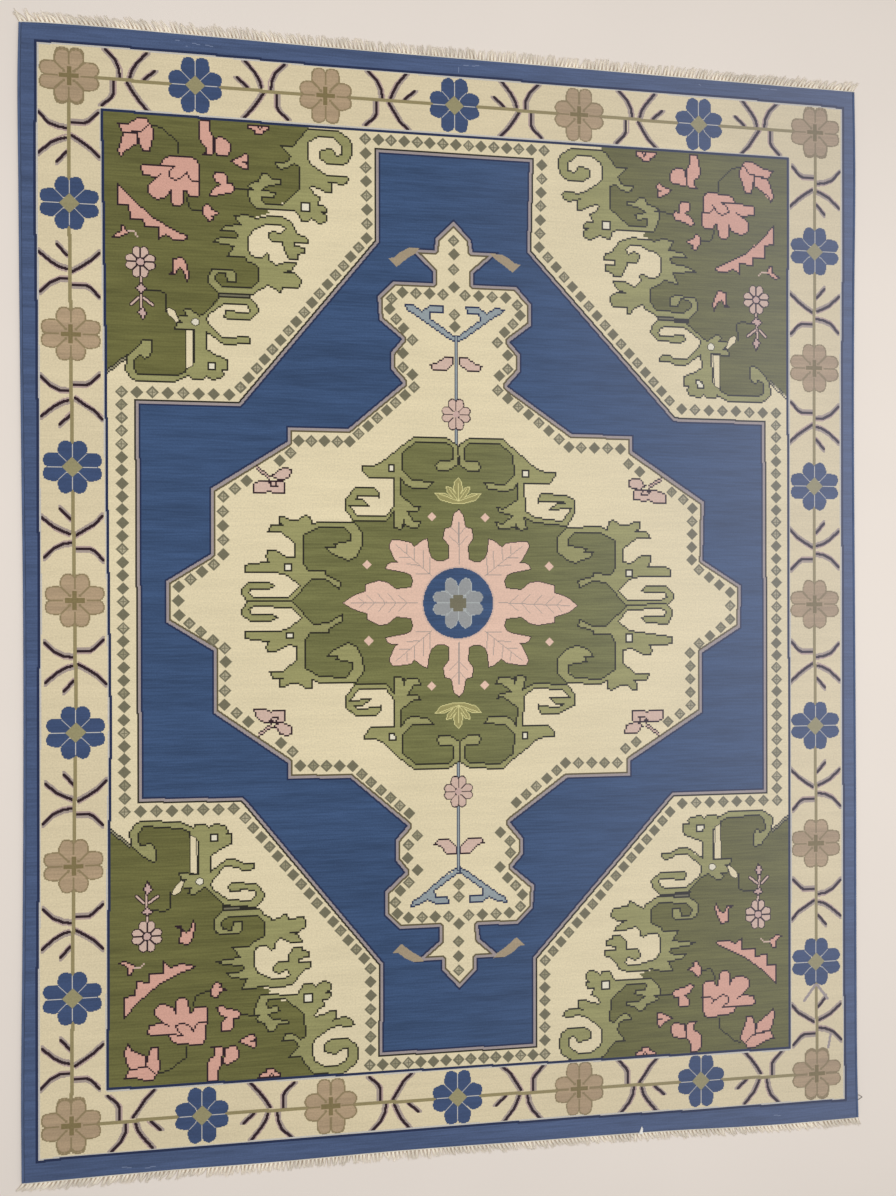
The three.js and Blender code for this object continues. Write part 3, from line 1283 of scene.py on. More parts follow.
# The upper left quarter of the field; the others are mirrored from it
UPPER_BEAST = [
    (-117, 354), (-96, 355), (-92, 353), (-86, 348), (-85, 344), (-85, 339), (-86, 334), (-89, 331),
    (-92, 329), (-104, 329), (-109, 333), (-109, 338), (-107, 339), (-100, 340), (-96, 336), (-92, 337),
    (-92, 343), (-95, 346), (-99, 349), (-110, 349), (-117, 344), (-118, 340), (-118, 332), (-115, 328),
    (-104, 321), (-98, 320), (-96, 321), (-90, 321), (-87, 319), (-89, 316), (-93, 314), (-100, 315),
    (-100, 308), (-104, 308), (-110, 311), (-115, 312), (-116, 310), (-112, 305), (-109, 304), (-110, 298),
    (-106, 298), (-104, 296), (-104, 293), (-107, 293), (-104, 290), (-104, 287), (-107, 284), (-110, 284),
    (-115, 288), (-117, 286), (-123, 285), (-125, 290), (-128, 293), (-155, 293), (-160, 298), (-162, 303),
    (-162, 307), (-158, 307), (-161, 309), (-159, 312), (-154, 313), (-153, 317), (-151, 319), (-148, 319),
    (-144, 315), (-137, 315), (-137, 312), (-147, 311), (-151, 307), (-142, 305), (-143, 302), (-151, 302),
    (-151, 299), (-149, 297), (-136, 297), (-124, 309), (-124, 326), (-128, 328), (-132, 324), (-137, 323),
    (-140, 324), (-142, 328), (-135, 328), (-132, 329), (-130, 333), (-137, 341), (-129, 341), (-124, 347),
    (-120, 352),
]
MIDDLE_BEAST = [
    (-145, 288), (-138, 288), (-132, 286), (-130, 284), (-127, 279), (-125, 276), (-122, 274), (-120, 274),
    (-118, 272), (-118, 269), (-127, 269), (-127, 266), (-120, 265), (-120, 261), (-125, 260), (-125, 257),
    (-131, 257), (-135, 263), (-136, 269), (-144, 269), (-147, 272), (-147, 275), (-143, 277), (-140, 276),
    (-137, 275), (-134, 279), (-137, 282), (-146, 282), (-151, 280), (-158, 277), (-161, 272), (-161, 261),
    (-159, 258), (-156, 257), (-152, 257), (-148, 260), (-146, 259), (-146, 255), (-142, 251), (-134, 254),
    (-126, 254), (-127, 251), (-130, 248), (-135, 246), (-128, 246), (-123, 242), (-123, 239), (-125, 235),
    (-136, 235), (-137, 231), (-139, 231), (-142, 234), (-148, 237), (-150, 234), (-154, 233), (-158, 229),
    (-183, 229), (-190, 236), (-190, 242), (-188, 246), (-185, 247), (-173, 247), (-170, 244), (-170, 238),
    (-176, 238), (-178, 244), (-183, 244), (-185, 241), (-185, 239), (-180, 234), (-159, 234), (-154, 239),
    (-154, 249), (-157, 252), (-161, 253), (-164, 256), (-176, 257), (-171, 264), (-187, 267), (-182, 270),
    (-170, 270), (-169, 273), (-172, 275), (-181, 276), (-178, 279), (-167, 280), (-170, 284), (-171, 287),
    (-163, 288), (-155, 286), (-152, 287),
]
LOWER_BEAST = [
    (-183, 226), (-160, 227), (-155, 222), (-154, 217), (-160, 210), (-176, 210), (-179, 212), (-178, 216),
    (-171, 216), (-170, 215), (-161, 215), (-160, 217), (-161, 220), (-164, 222), (-179, 222), (-190, 213),
    (-191, 210), (-190, 206), (-180, 196), (-170, 196), (-168, 198), (-163, 198), (-160, 196), (-160, 193),
    (-167, 193), (-172, 191), (-179, 191), (-191, 200), (-191, 187), (-186, 184), (-177, 180), (-176, 178),
    (-176, 172), (-180, 172), (-179, 169), (-181, 166), (-188, 165), (-191, 167), (-194, 165), (-202, 165),
    (-204, 167), (-214, 162), (-242, 163), (-246, 165), (-249, 170), (-248, 180), (-241, 188), (-237, 192),
    (-233, 193), (-231, 192), (-231, 185), (-233, 180), (-236, 179), (-238, 181), (-241, 180), (-243, 178),
    (-243, 171), (-240, 167), (-213, 167), (-207, 170), (-206, 174), (-200, 177), (-200, 201), (-214, 201),
    (-213, 206), (-209, 206), (-213, 209), (-211, 212), (-206, 212), (-208, 215), (-206, 217), (-203, 217),
    (-197, 212), (-194, 213), (-191, 215), (-181, 226),
]
CORNER_GROUND = [
    (-275, 366), (-117, 366), (-117, 357), (-121, 345), (-122, 330), (-121, 310), (-128, 300), (-150, 295),
    (-146, 290), (-160, 285), (-164, 275), (-164, 262), (-158, 255), (-150, 250), (-150, 238), (-157, 232),
    (-165, 228), (-170, 225), (-185, 220), (-191, 212), (-195, 205), (-200, 202), (-206, 200), (-206, 174),
    (-207, 168), (-213, 165), (-241, 165), (-246, 168), (-247, 178), (-249, 181), (-263, 168), (-275, 158),
]
TOOTH = [
    (-220, 216), (-218, 217), (-214, 215), (-213, 212), (-211, 207), (-213, 206), (-216, 209), (-219, 212),
]
NECK_STRIP = [(-206.3, 200.8), (-201.2, 200.8), (-201.2, 174.5), (-206.3, 172)]
TULIP_UPPER = [(-254, 349), (-247, 350), (-240, 354), (-234, 354), (-232, 351), (-238, 344), (-250, 343)]
TULIP_SIDE = [
    (-232, 351), (-229, 347), (-229, 341), (-231, 337), (-232, 330), (-237, 330), (-239, 337), (-240, 343),
]
TULIP_LOWER = [(-250, 343), (-240, 343), (-240, 336), (-249, 329), (-252, 325), (-254, 329), (-252, 337)]
TULIP_TENDRIL = [(-229, 349), (-223, 348), (-212, 338), (-212, 330)]
PALMETTE = [
    (-224, 322), (-222, 326), (-218, 328), (-202, 328), (-198, 326), (-196, 322), (-196, 301), (-198, 299),
    (-204, 299), (-206, 303), (-208, 303), (-208, 294), (-211, 292), (-215, 292), (-217, 294), (-217, 303),
    (-219, 299), (-222, 297), (-227, 296), (-231, 298), (-233, 301), (-233, 305), (-231, 308), (-227, 312),
    (-237, 313), (-238, 319), (-236, 321), (-224, 321),
]
PALMETTE_VEINS = [
    [(-224, 321), (-214, 321), (-218, 317), (-218, 313), (-214, 311), (-210, 312), (-205, 317)],
    [(-206, 316), (-204, 313), (-202, 311), (-196, 311)],
    [(-227, 312), (-224, 314)],
]
BOOT = [
    (-196, 355), (-194, 356), (-189, 356), (-189, 349), (-186, 343), (-186, 332), (-188, 330), (-194, 330),
    (-192, 332), (-192, 336), (-195, 339), (-197, 342), (-197, 349),
]
BOOT_HEEL = [
    (-185, 343), (-181, 344), (-176, 342), (-174, 339), (-174, 334), (-176, 331), (-184, 331), (-185, 333),
]
HALF_FLOWER = [
    (-162, 355), (-146, 355), (-146, 352), (-150, 351), (-151, 348), (-156, 348), (-157, 351), (-161, 352),
]
HALF_FLOWER_EYE = [(-155, 355), (-153, 352), (-151, 355)]
POINTED_BUD = [
    (-174, 327), (-166, 331), (-164, 333), (-163, 333), (-161, 330), (-162, 327), (-165, 327), (-162, 326),
    (-162, 322), (-165, 322), (-171, 325),
]
FORKED_BUD = [
    (-186, 316), (-185, 318), (-179, 318), (-177, 316), (-177, 310), (-173, 310), (-172, 306), (-174, 303),
    (-182, 302), (-185, 300), (-189, 301), (-188, 304), (-185, 307), (-182, 309), (-185, 312),
]
FORKED_BUD_STEM = [(-172, 307), (-162, 307)]
SMALL_BUD = [
    (-194, 292), (-192, 294), (-189, 293), (-188, 290), (-183, 288), (-184, 287), (-188, 286), (-187, 283),
    (-190, 282), (-192, 284), (-194, 287),
]
SMALL_BUD_STEM = [(-205, 298), (-204, 292), (-201, 289), (-195, 289)]
SAW_LEAF = [
    (-254, 306), (-254, 291), (-247, 290), (-246, 281), (-237, 281), (-236, 275), (-226, 275), (-226, 266),
    (-221, 270), (-215, 267), (-208, 267), (-205, 268), (-206, 270), (-213, 273), (-230, 283), (-244, 295),
]
ARROW_BUD = [
    (-258, 267), (-255, 269), (-252, 271), (-252, 276), (-250, 276), (-248, 272), (-247, 270), (-251, 268),
    (-254, 266),
]
ARROW_STEM = [(-247, 271), (-243, 271), (-241, 268)]
COMMA_LEAF = [
    (-215, 253), (-209, 254), (-207, 252), (-205, 247), (-204, 242), (-205, 237), (-208, 244), (-211, 246),
    (-213, 244), (-214, 241), (-218, 241), (-215, 243),
]
UPPER_FIGURE = [
    (-4, 119), (-6, 121), (-13, 126), (-39, 126), (-45, 121), (-50, 117), (-58, 110), (-63, 106),
    (-69, 103), (-77, 103), (-77, 100), (-72, 95), (-54, 95), (-54, 74), (-60, 66), (-81, 66), (-87, 73),
    (-73, 73), (-78, 78), (-83, 78), (-81, 81), (-66, 81), (-65, 80), (-65, 84), (-68, 87), (-82, 87),
    (-90, 79), (-90, 70), (-84, 62), (-60, 62), (-53, 69), (-54, 57), (-49, 56), (-47, 58), (-46, 63),
    (-46, 59), (-41, 57), (-36, 57), (-33, 62), (-38, 62), (-44, 70), (-36, 70), (-34, 74), (-39, 73),
    (-49, 82), (-49, 95), (-45, 90), (-40, 87), (-28, 87), (-24, 92), (-40, 93), (-47, 101), (-47, 114),
    (-37, 122), (-13, 122), (-9, 119), (-9, 110), (-11, 108), (-19, 108), (-22, 105), (-20, 101),
    (-12, 101), (-5, 106),
]
SIDE_FIGURE = [
    (-84, 61), (-109, 61), (-115, 59), (-116, 65), (-120, 66), (-125, 62), (-131, 62), (-135, 65),
    (-139, 65), (-139, 60), (-136, 58), (-145, 58), (-148, 53), (-137, 53), (-128, 45), (-128, 35),
    (-134, 34), (-141, 39), (-148, 39), (-149, 35), (-146, 31), (-159, 30), (-164, 28), (-164, 23),
    (-141, 23), (-133, 21), (-124, 13), (-132, 5), (-158, 5), (-162, 8), (-160, 11), (-147, 11), (-143, 13),
    (-147, 16), (-161, 16), (-167, 11), (-167, 7), (-162, 1), (-131, 1), (-115, 18), (-105, 18), (-95, 11),
    (-94, 16), (-105, 22), (-105, 25), (-118, 24), (-121, 29), (-121, 51), (-110, 57), (-91, 57), (-86, 52),
    (-86, 47), (-99, 45), (-97, 42), (-105, 42), (-100, 37), (-94, 34), (-88, 32), (-82, 35), (-78, 43),
    (-77, 53),
]
CENTRE_GROUND = [
    (-131, 0), (-120, 14), (-124, 25), (-124, 50), (-118, 57), (-109, 59), (-87, 59), (-84, 64), (-60, 64),
    (-52, 72), (-52, 95), (-50, 115), (-38, 124), (-13, 124), (-4, 120),
]
STAR = [
    (-4, 72), (-8, 68), (-10, 58), (-15, 57), (-16, 49), (-12, 44), (-12, 34), (-16, 32), (-21, 32),
    (-25, 35), (-27, 40), (-28, 49), (-32, 48), (-38, 43), (-41, 46), (-50, 48), (-55, 48), (-57, 45),
    (-57, 42), (-53, 33), (-51, 31), (-56, 31), (-59, 29), (-60, 26), (-44, 23), (-41, 21), (-39.5, 17.5),
    (-41, 12), (-52, 11), (-59, 16), (-65, 17), (-75, 14), (-75, 9), (-81, 7), (-86, 5), (-92, 0),
]
HOOK = [
    (-58, 261), (-53.5, 261.5), (-48.5, 266), (-42, 269.5), (-34, 269.5), (-37, 265.5), (-43, 261.7),
    (-51.5, 254.5),
]
BRANCH = [
    (-45, 226), (-38, 226), (-32, 222), (-26, 226), (-16, 226), (-16, 221), (-26, 221), (-26, 216),
    (-6, 202), (-6, 199), (-15, 204), (-37, 219), (-43, 223),
]
STEM_LEAF = [(-8, 188), (-15, 188), (-21, 182), (-26, 181), (-23, 177), (-14, 177), (-8, 183)]
HEXAGON = [
    (-68, 344), (55, 344), (53, 272), (169, 146.5), (244.5, 145.5), (245.5, -2), (245.5, -153),
    (167.5, -153), (57, -275), (57, -344), (-66, -342.5), (-65.5, -273.5), (-167, -147), (-241, -145.5),
    (-242, 1), (-243, 149), (-169, 149), (-68, 274),
]
MEDALLION = [
    (-8, 292), (6, 278), (7, 269), (27, 269), (8, 252), (8, 244), (41, 244), (53, 231), (53, 214),
    (36, 201), (44, 192), (44, 178), (34, 167), (85, 132), (134, 131), (134, 119), (193, 80), (192, 34),
    (224, 14), (223, -20), (191, -40), (191, -87), (132, -124), (132, -136), (81, -136), (36, -169),
    (46, -181), (46, -194), (38, -203), (55, -218), (54, -236), (42, -248), (11, -247), (12, -257),
    (29, -272), (10, -272), (10, -281), (-4, -295), (-18, -280), (-18, -272), (-38, -272), (-20, -257),
    (-20, -247), (-50, -247), (-61, -236), (-61, -218), (-46, -204), (-53, -195), (-53, -179), (-44, -169),
    (-87, -132), (-133, -131), (-133, -119), (-187, -81), (-187, -35), (-221, -14), (-221, 17), (-189, 37),
    (-189, 85), (-133, 121), (-133, 132), (-88, 132), (-47, 167), (-56, 177), (-56, 190), (-48, 200),
    (-65, 214), (-66, 232), (-54, 244), (-24, 244), (-24, 252), (-42, 269), (-23, 269), (-22, 278),
]
BUTTERFLY = [
    (-149.3, 91.5), (-153, 90.8), (-156.3, 89.4), (-157.6, 88.5), (-157.7, 82.4), (-149.8, 81.7),
    (-145.5, 84), (-143.7, 82.4), (-135.3, 82.4), (-135.3, 89.4), (-137.4, 91),
]
BUTTERFLY_PETAL = [
    (-144.7, 95.2), (-142.8, 95.5), (-139.5, 100), (-135.3, 100.6), (-130.7, 99.7), (-130.9, 94.5),
    (-134.9, 92), (-139.5, 91.7),
]
BUTTERFLY_EYE = [(-147, 90), (-142.3, 91.3), (-140.7, 87.5), (-145, 87.3)]
LEAF_CROWN = [
    (-4.5, 95.5), (-7.5, 92.5), (-8, 87), (-6.5, 84), (-10, 88), (-13.5, 89), (-13, 85), (-9, 80.5),
    (-15, 84), (-22.5, 83.5), (-18, 79), (-9, 76.5), (-4.5, 76),
]
STAR_VEINS = [
    [(-4, 62), (-4, 30)],
    [(-4, 52), (-10, 58)],
    [(-4, 44), (-11, 51)],
    [(-52, 44), (-25, 21.3)],
    [(-37, 22), (-26, 22)],
    [(-44, 29.5), (-34, 28.8)],
    [(-49.5, 35), (-41, 34.8)],
    [(-26.5, 35), (-26.5, 23)],
    [(-31.5, 40), (-31.5, 27)],
    [(-38, 42), (-38, 33)],
    [(-44, 44), (-44, 38)],
    [(-86, 0), (-36, 0)],
    [(-76, 0), (-80, 4)],
    [(-68, 0), (-74, 6)],
    [(-60, 0), (-66, 7)],
    [(-52, 0), (-58, 7)],
    [(-44, 0), (-50, 6)],
]
LINT_MARKS = [
    [(-213, 413), (-210.5, 413.3)],
    [(-206, 409), (-205, 409)],
    [(-201, 412), (-196, 411)],
    [(-192, 411.2), (-187, 410.8)],
    [(0, 411.3), (4, 411.5)],
    [(7, 411), (12, 412)],
    [(-3.5, 409), (-3.5, 405.5)],
    [(241, 411.5), (247, 411.3)],
    [(249, 411), (254, 411.4)],
    [(189, 410.4), (190, 410.2)],
    [(251, -411), (256, -411.6)],
    [(-252, -410), (-246, -410.5)],
    [(-236, -411.6), (-229, -411)],
]
STRAY_LINES = [
    [(286, -309), (277, -321)],
    [(288, -309), (297, -320)],
    [(299, -350), (297.5, -360)],
]
# Where the flower in the medallion's middle lies, and the radius of the blue roundel behind it
FLOWER_U = -4.5
ROUNDEL = 27
SMALL_DIAMONDS = [
    (-24.7, 65.8), (16.4, 65.5), (-73.9, 29.1), (-72.7, -28.2), (66.8, 28.5), (66.8, -30.2), (-25, -63),
    (16, -63),
]

# How far points of the upper left quarter lie off their mirrored places in the other quarters
# Columns: u and v, then how far off in u and v in the upper right, lower left and lower right
LANDMARKS = np.array([
    (-137, 341, -8, 0, 5, 2.5, -10, -2),
    (-142, 328, -7, -1, 4.5, 3, -9.5, 1),
    (-150, 319, -9, -0.5, 3.5, 1.5, -9.5, -2),
    (-162, 303, -5.5, 1, 4, 1.5, -6.5, -2.5),
    (-119, 296, -7.5, -1, 1.5, 1.5, -8, -2.5),
    (-106, 286, -9, -1, 2.5, 1, -8.5, -2.5),
    (-100, 310, -10.5, -2, 3, 3, -10, -1),
    (-109, 336, -9, -1, 3, 2.5, -10, -1.5),
    (-85, 341, -10, -1.5, 3.5, 2, -10, -1),
    (-253, 337, -3, -4, 3, 3, -2, 0),
    (-235, 330, -5, -3.5, 5.5, 5.5, -4, -0.5),
    (-229, 346, -7, -2, 4, 6, -6, -1.5),
    (-212, 330, -7.5, -3.5, 5.5, 5, -7.5, -0.5),
    (-196, 322, -3.5, -1, 3, 2, -5.5, -1.5),
    (-213, 292, -3.5, -2.5, 3, 2.5, -3.5, -1.5),
    (-238, 316, -2.5, -4, 4, 5, -3, -1.5),
    (-192, 356, -8.5, -1, 5, 3.5, -7.5, 0),
    (-190, 330, -7, -2, 5.5, 3.5, -8.5, -2),
    (-174, 337, -9, -0.5, 5, 4, -9, -0.5),
    (-154, 351, -9, -1, 7.5, 2.5, -9.5, -1),
    (-166, 328, -7.5, -2.5, 5, 3, -8, -1.5),
    (-181, 309, -4.5, -1.5, 4, 3, -5.5, -2),
    (-189, 288, -4.5, -2.5, 5, 3, -4.5, -2.5),
    (-254, 298, -3, -4, 4, 4.5, -1.5, 0),
    (-226, 272, -3, -5, 3.5, 4, -2, -2),
    (-205, 268, -3, -4.5, 4.5, 2, -2.5, -2),
    (-250, 271, -2, -6.5, 4, 6, 0, -0.5),
    (-238, 249, -2, -7.5, 4, 6.5, -1, 0),
    (-237, 212, -0.5, -5.5, 3, 4.5, 1, -1.5),
    (-210, 246, -4, -6, 4, 4, -2.5, -1),
    (-171, 287, -4, -1.5, 4.5, 2, -5, -3),
    (-187, 267, -1.5, -5, 1.5, 3, -2, -2),
    (-176, 257, -4.5, -5.5, 2.5, 2.5, -4.5, -1.5),
    (-161, 266, -4, 0, 3, 2.5, -5.5, -3),
    (-145, 290, -3.5, -2, 0.5, 2.5, -7, -1.5),
    (-119, 267, -7.5, -1.5, 2, 0.5, -7.5, -3),
    (-147, 273, -7, -2, 3.5, 2, -7.5, -3),
    (-124, 240, -7, -3.5, 3.5, 1, -7, -3.5),
    (-138, 231, -7, -4, 3, -0.5, -6.5, -3),
    (-154, 244, -5.5, -3, 3.5, 2.5, -5.5, -2.5),
    (-190, 239, -2.5, -5, 3, 3.5, -2.5, -3.5),
    (-170, 241, -5, -4, 4, 3, -4.5, -4),
    (-171, 228, -4, -4.5, 3, 2, -3, -3.5),
    (-155, 219, -5.5, -4.5, 4, 2, -5.5, -2.5),
    (-179, 214, -2, -4.5, 2.5, 3.5, -1.5, -2.5),
    (-160, 195, -4, -3, 2.5, 0, -3, -4.5),
    (-176, 191, -2, -3, 1, 2, -1, -3),
    (-191, 187, -0.5, -1, 2.5, 1, 0, -3.5),
    (-176, 175, -0.5, -1, 2.5, 2, -1, -3.5),
    (-190, 170, 1.5, -2.5, 1, 2.5, 1.5, -4),
    (-202, 187, 0, -3, 2.5, 2, 0, -3),
    (-199, 207, -1, -4, 2.5, 2.5, -0.5, -3),
    (-215, 208, 0, -4.5, 3, 3, 0.5, -3),
    (-242, 163, -1, -2.5, 3.5, 4, -1, -3.5),
    (-214, 162, -1, -1.5, 3, 2.5, -1, -4.5),
    (-233, 193, 0.5, -4.5, 3.5, 4.5, 2.5, -1.5),
    (-250, 176, 0, -4, 2, 4, 1, -2.5),
    (-22, 278, -16, -0.5, 3, -2.5, -12, -2.5),
    (-23, 269, -16, -0.5, 3.5, -3.5, -13, -3.5),
    (-42, 269, -12.5, -1.5, 3, -3, -11, -3),
    (-55, 258, -13.5, 0, 3, -3.5, -11, -3),
    (-24, 250, -16, 0, 4, -4, -12.5, -4.5),
    (-31, 235, -14.5, 0, 3.5, -3.5, -12.5, -3.5),
    (-54, 244, -12.5, -1.5, 3, -3.5, -12, -3.5),
    (-66, 232, -13, -1, 4.5, -5, -11.5, -5),
    (-65, 214, -12, 0, 3.5, -4.5, -10.5, -4.5),
    (-48, 200, -12, 1, 2.5, -3, -11, -3),
    (-56, 190, -12, 2.5, 3, -5, -10, -5),
    (-56, 177, -12, 1, 3, -3, -10, -3),
    (-47, 167, -11.5, 1, 3.5, -2.5, -10.5, -1.5),
    (-52, 151, -10.5, 0.5, 3.5, -2.5, -11, -3.5),
    (-88, 132, -4, -0.5, 0.5, -0.5, -6, -2.5),
    (-81, 128, -6, -1, 3, -0.5, -9, -2),
    (-106, 121, -2.5, -1, 1.5, 0, -6, -3.5),
    (-133, 126, 0.5, -1, 0, 1.5, -2, -3),
    (-135, 109, 0, -3.5, 1, 2.5, -3, -2),
    (-167, 88, 3.5, -4, 0.5, 4.5, 0.5, -2.5),
    (-189, 85, 4, -5.5, 2, 6, 2, -2),
    (-180, 79, 2.5, -4.5, 1.5, 5, 1, -2.5),
    (-180, 58, 2.5, -4.5, 1.5, 5, 1, -2.5),
    (-189, 37, 3, -3.5, 1.5, 2.5, 2, -4),
    (-180, 36, 2.5, -3.5, 1.5, 3.5, 1, -3.5),
    (-221, 17, 3.5, -3.5, 0.5, 3, 2.5, -2.5),
    (-204, 18, 3, -3.5, 0, 4, 3, -1.5),
    (-68, 344, -12.5, 0, 2, 1.5, -12, 0.5),
    (-68, 274, -15, -2.5, 2.5, 0.5, -11.5, 0),
    (-169, 149, -1, -2, 2, 2, -0.5, -3),
    (-243, 149, 1.5, -3.5, 1.5, 3.5, 2.5, -3.5),
    (-8, 292, -16, 0, 3.5, -2.5, -12, -2.5),
    (-6, 200, -12, 0, 2, -3, -11, -3),
    (-77, 101, -5, -2, 0.5, 0.5, -6, 0),
    (-54, 95, -7.5, -2.5, 0, 1.5, -8, 0),
    (-54, 74, -6.5, -3.5, 0, 0, -7.5, 1.5),
    (-90, 75, -2.5, 0.5, -0.5, 0, -3.5, -1),
    (-82, 87, -3, -3, -1, 2, -7, 1),
    (-65, 84, -7, -3, 1, 2.5, -7.5, 1.5),
    (-73, 73, -6.5, -0.5, 2, 1, -6, -1),
    (-84, 62, -3.5, -3, 1, 1, -3.5, -1),
    (-60, 62, -4, 0, 0, 1, -6, 0.5),
    (-116, 65, -2, -1.5, 0.5, 2, -2.5, -2.5),
    (-139, 65, 0.5, -1.5, 0, 2.5, -1.5, -3),
    (-148, 55, 0, -2.5, 1, 2.5, -0.5, -2.5),
    (-128, 40, -2.5, -3, 2, 3, -2, -2.5),
    (-148, 39, 0, -2.5, 0, 3.5, 1, -2),
    (-164, 25, 0.5, -2, 0, 2.5, 2.5, -3.5),
    (-124, 13, -2.5, -3, 1, 2, -2.5, -1),
    (-143, 13, -2, -3, 2.5, 2.5, -2, 1),
    (-167, 9, 0, -3.5, 1, 3, -0.5, 1),
    (-146, 2, -2, -3, 1, 3, -1, -2),
    (-95, 11, -4.5, 1, 2, 3, -4.5, -2.5),
    (-105, 23, -3, -1.5, 2.5, 3, -2.5, 0),
    (-121, 40, -1.5, -2.5, 0, 2, -1, -1),
    (-110, 57, -2, -2, 0, 2, -1.5, -2),
    (-86, 50, -4, -2, 1.5, 2, -3.5, -2),
    (-105, 42, -2.5, -3, 1, 3, -2.5, 0),
    (-88, 32, 0, -1, 1, 2.5, 0, -1),
    (-78, 45, -4.5, -3, 0.5, 1.5, -5, -0.5),
    (-92, 0, -3, -2.5, 0, 0, -3, -2.5),
    (-45, 121, -9, 0, 0, 0, -9, -1.5),
    (-6, 110, -9, 0, 1, 0, -9, 0),
    (-30, 50, -9, 0, 0, 0, -9, 0),
    (-30, 0, -9, 0, 0, 0, -9, 0),
    (-30, 80, -9, 0, 0, 0, -9, 0),
    (-60, 30, -8, 0, 0, 0, -8, 0),
], float)
# Keeps a landmark from ruling alone over points that lie on it, in square plan units
DRIFT_SOFTNESS = 9.0


@dataclass(frozen=True)
class Quarter:
    """A quarter of the field: the upper left one, or one mirrored from it and woven a little off.

    Attributes:
        across: -1 where left and right are swapped.
        along: -1 where top and bottom are swapped.
        column: which drift of the landmarks holds here, or 0 for none.
    """

    across: int
    along: int
    column: int

    def place(self, points: Loop) -> np.ndarray:
        """Moves points of the upper left quarter to this one.

        Args:
            points: points in plan units.

        Returns:
            Where the weaver put them here.
        """
        points = np.asarray(points, float)
        mirrored = points * (self.across, self.along)
        if not self.column:
            return mirrored
        marks = LANDMARKS[:, :2]
        drifts = LANDMARKS[:, 2 * self.column:2 * self.column + 2]
        spans = ((points[:, None] - marks[None]) ** 2).sum(axis=2)
        weights = 1 / (spans + DRIFT_SOFTNESS) ** 2
        return mirrored + weights @ drifts / weights.sum(axis=1)[:, None]


UPPER_LEFT = Quarter(1, 1, 0)
UPPER_RIGHT = Quarter(-1, 1, 1)
LOWER_LEFT = Quarter(1, -1, 2)
LOWER_RIGHT = Quarter(-1, -1, 3)
QUARTERS = (UPPER_LEFT, UPPER_RIGHT, LOWER_RIGHT, LOWER_LEFT)


def all_round(path: Loop) -> np.ndarray:
    """Joins a path of the upper left quarter with its mirrored ones to a closed loop.

    Args:
        path: points from the left end to the upper end.

    Returns:
        The loop, clockwise.
    """
    paths = [quarter.place(path) for quarter in QUARTERS]
    return np.concatenate([paths[0], paths[1][::-1], paths[2], paths[3][::-1]])


def box_of(left: float, bottom: float, right: float, top: float) -> Loop:
    """Gives the corners of an upright rectangle."""
    return [(left, bottom), (right, bottom), (right, top), (left, top)]


def diamond(u: float, v: float, half: float) -> Loop:
    """Gives the corners of a diamond round a middle."""
    return [(u - half, v), (u, v - half), (u + half, v), (u, v + half)]


def disc(u: float, v: float, radius: float, points: int = 36) -> np.ndarray:
    """Gives points round a circle."""
    turn = np.arange(points) / points * 2 * math.pi
    return np.stack([u + radius * np.cos(turn), v + radius * np.sin(turn)], axis=1)


ROUND_PETAL = (
    (0.7, 4), (0.7, 17), (1.8, 18.9), (4.8, 19.9), (7.8, 19), (9.3, 16.5), (9.7, 12.5), (9.3, 9.9),
    (4.2, 4.8),
)
ROUND_SIDE_PETAL = (
    (4, 0.7), (16, 0.7), (17.7, 1.8), (18.6, 4.6), (17.8, 7.2), (15.6, 8.9), (12, 9.6), (10, 9.2),
    (4.8, 4.2),
)
POINTED_PETAL = (
    (0.3, 6), (0.3, 12.8), (2, 16.6), (5.4, 19), (8.4, 18.2), (10, 15.2), (10, 9.2), (6, 6),
)
POINTED_SIDE_PETAL = (
    (6, 0.3), (16.4, 0.3), (18.4, 2), (19.2, 5.6), (16.6, 8.7), (10, 8.8), (6, 6),
)
# Where the lines between neighbouring petals of different sides end
DIAGONAL_RIB = (9.2, 9.6)


@dataclass(frozen=True)
class Flower:
    """An eight-petalled flower seen from above: two petals to each side.

    Attributes:
        u: place across the rug, in plan units.
        v: place along it.
        size: its size, where 1 is a flower of the border.
        sideways: whether its long way lies across the rug.
        rim: width of the line round it, in half knots.
        rib: width of the lines between its petals, in half knots.
        petal: outline of the petals above and below its middle, in plan units from there.
        side_petal: outline of those to its left and right.
    """

    u: float
    v: float
    size: float = 1.0
    sideways: bool = False
    rim: int = 2
    rib: int = 1
    petal: tuple[Point, ...] = ROUND_PETAL
    side_petal: tuple[Point, ...] = ROUND_SIDE_PETAL

    def petals(self) -> list[np.ndarray]:
        """Gives the eight petals, in plan units."""
        loops = []
        for petal in (self.petal, self.side_petal):
            for across in (1, -1):
                for along in (1, -1):
                    loop = np.array(petal) * (across * self.size, along * self.size)
                    loops.append((loop[:, ::-1] if self.sideways else loop) + (self.u, self.v))
        return loops

    def weave(self, chart: Chart, petal: Dye, edge: Dye, outline: Dye) -> None:
        """Weaves the petals.

        Args:
            chart: the chart that takes them.
            petal: dye of the petals.
            edge: dye of the thin line between them.
            outline: dye of the line round the whole flower.
        """
        for loop in self.petals():
            chart.line(loop, outline, width=self.rim, grain=1, closed=True)
        for loop in self.petals():
            chart.fill(loop, petal, grain=1)
        across, along = DIAGONAL_RIB
        ends = [(0, self.petal[1][1]), (self.side_petal[1][0], 0), (across, along), (across, -along)]
        tips = np.array(ends) * self.size
        for tip in tips[:, ::-1] if self.sideways else tips:
            chart.line(np.array([-tip, tip]) + (self.u, self.v), edge, width=self.rib, grain=1)


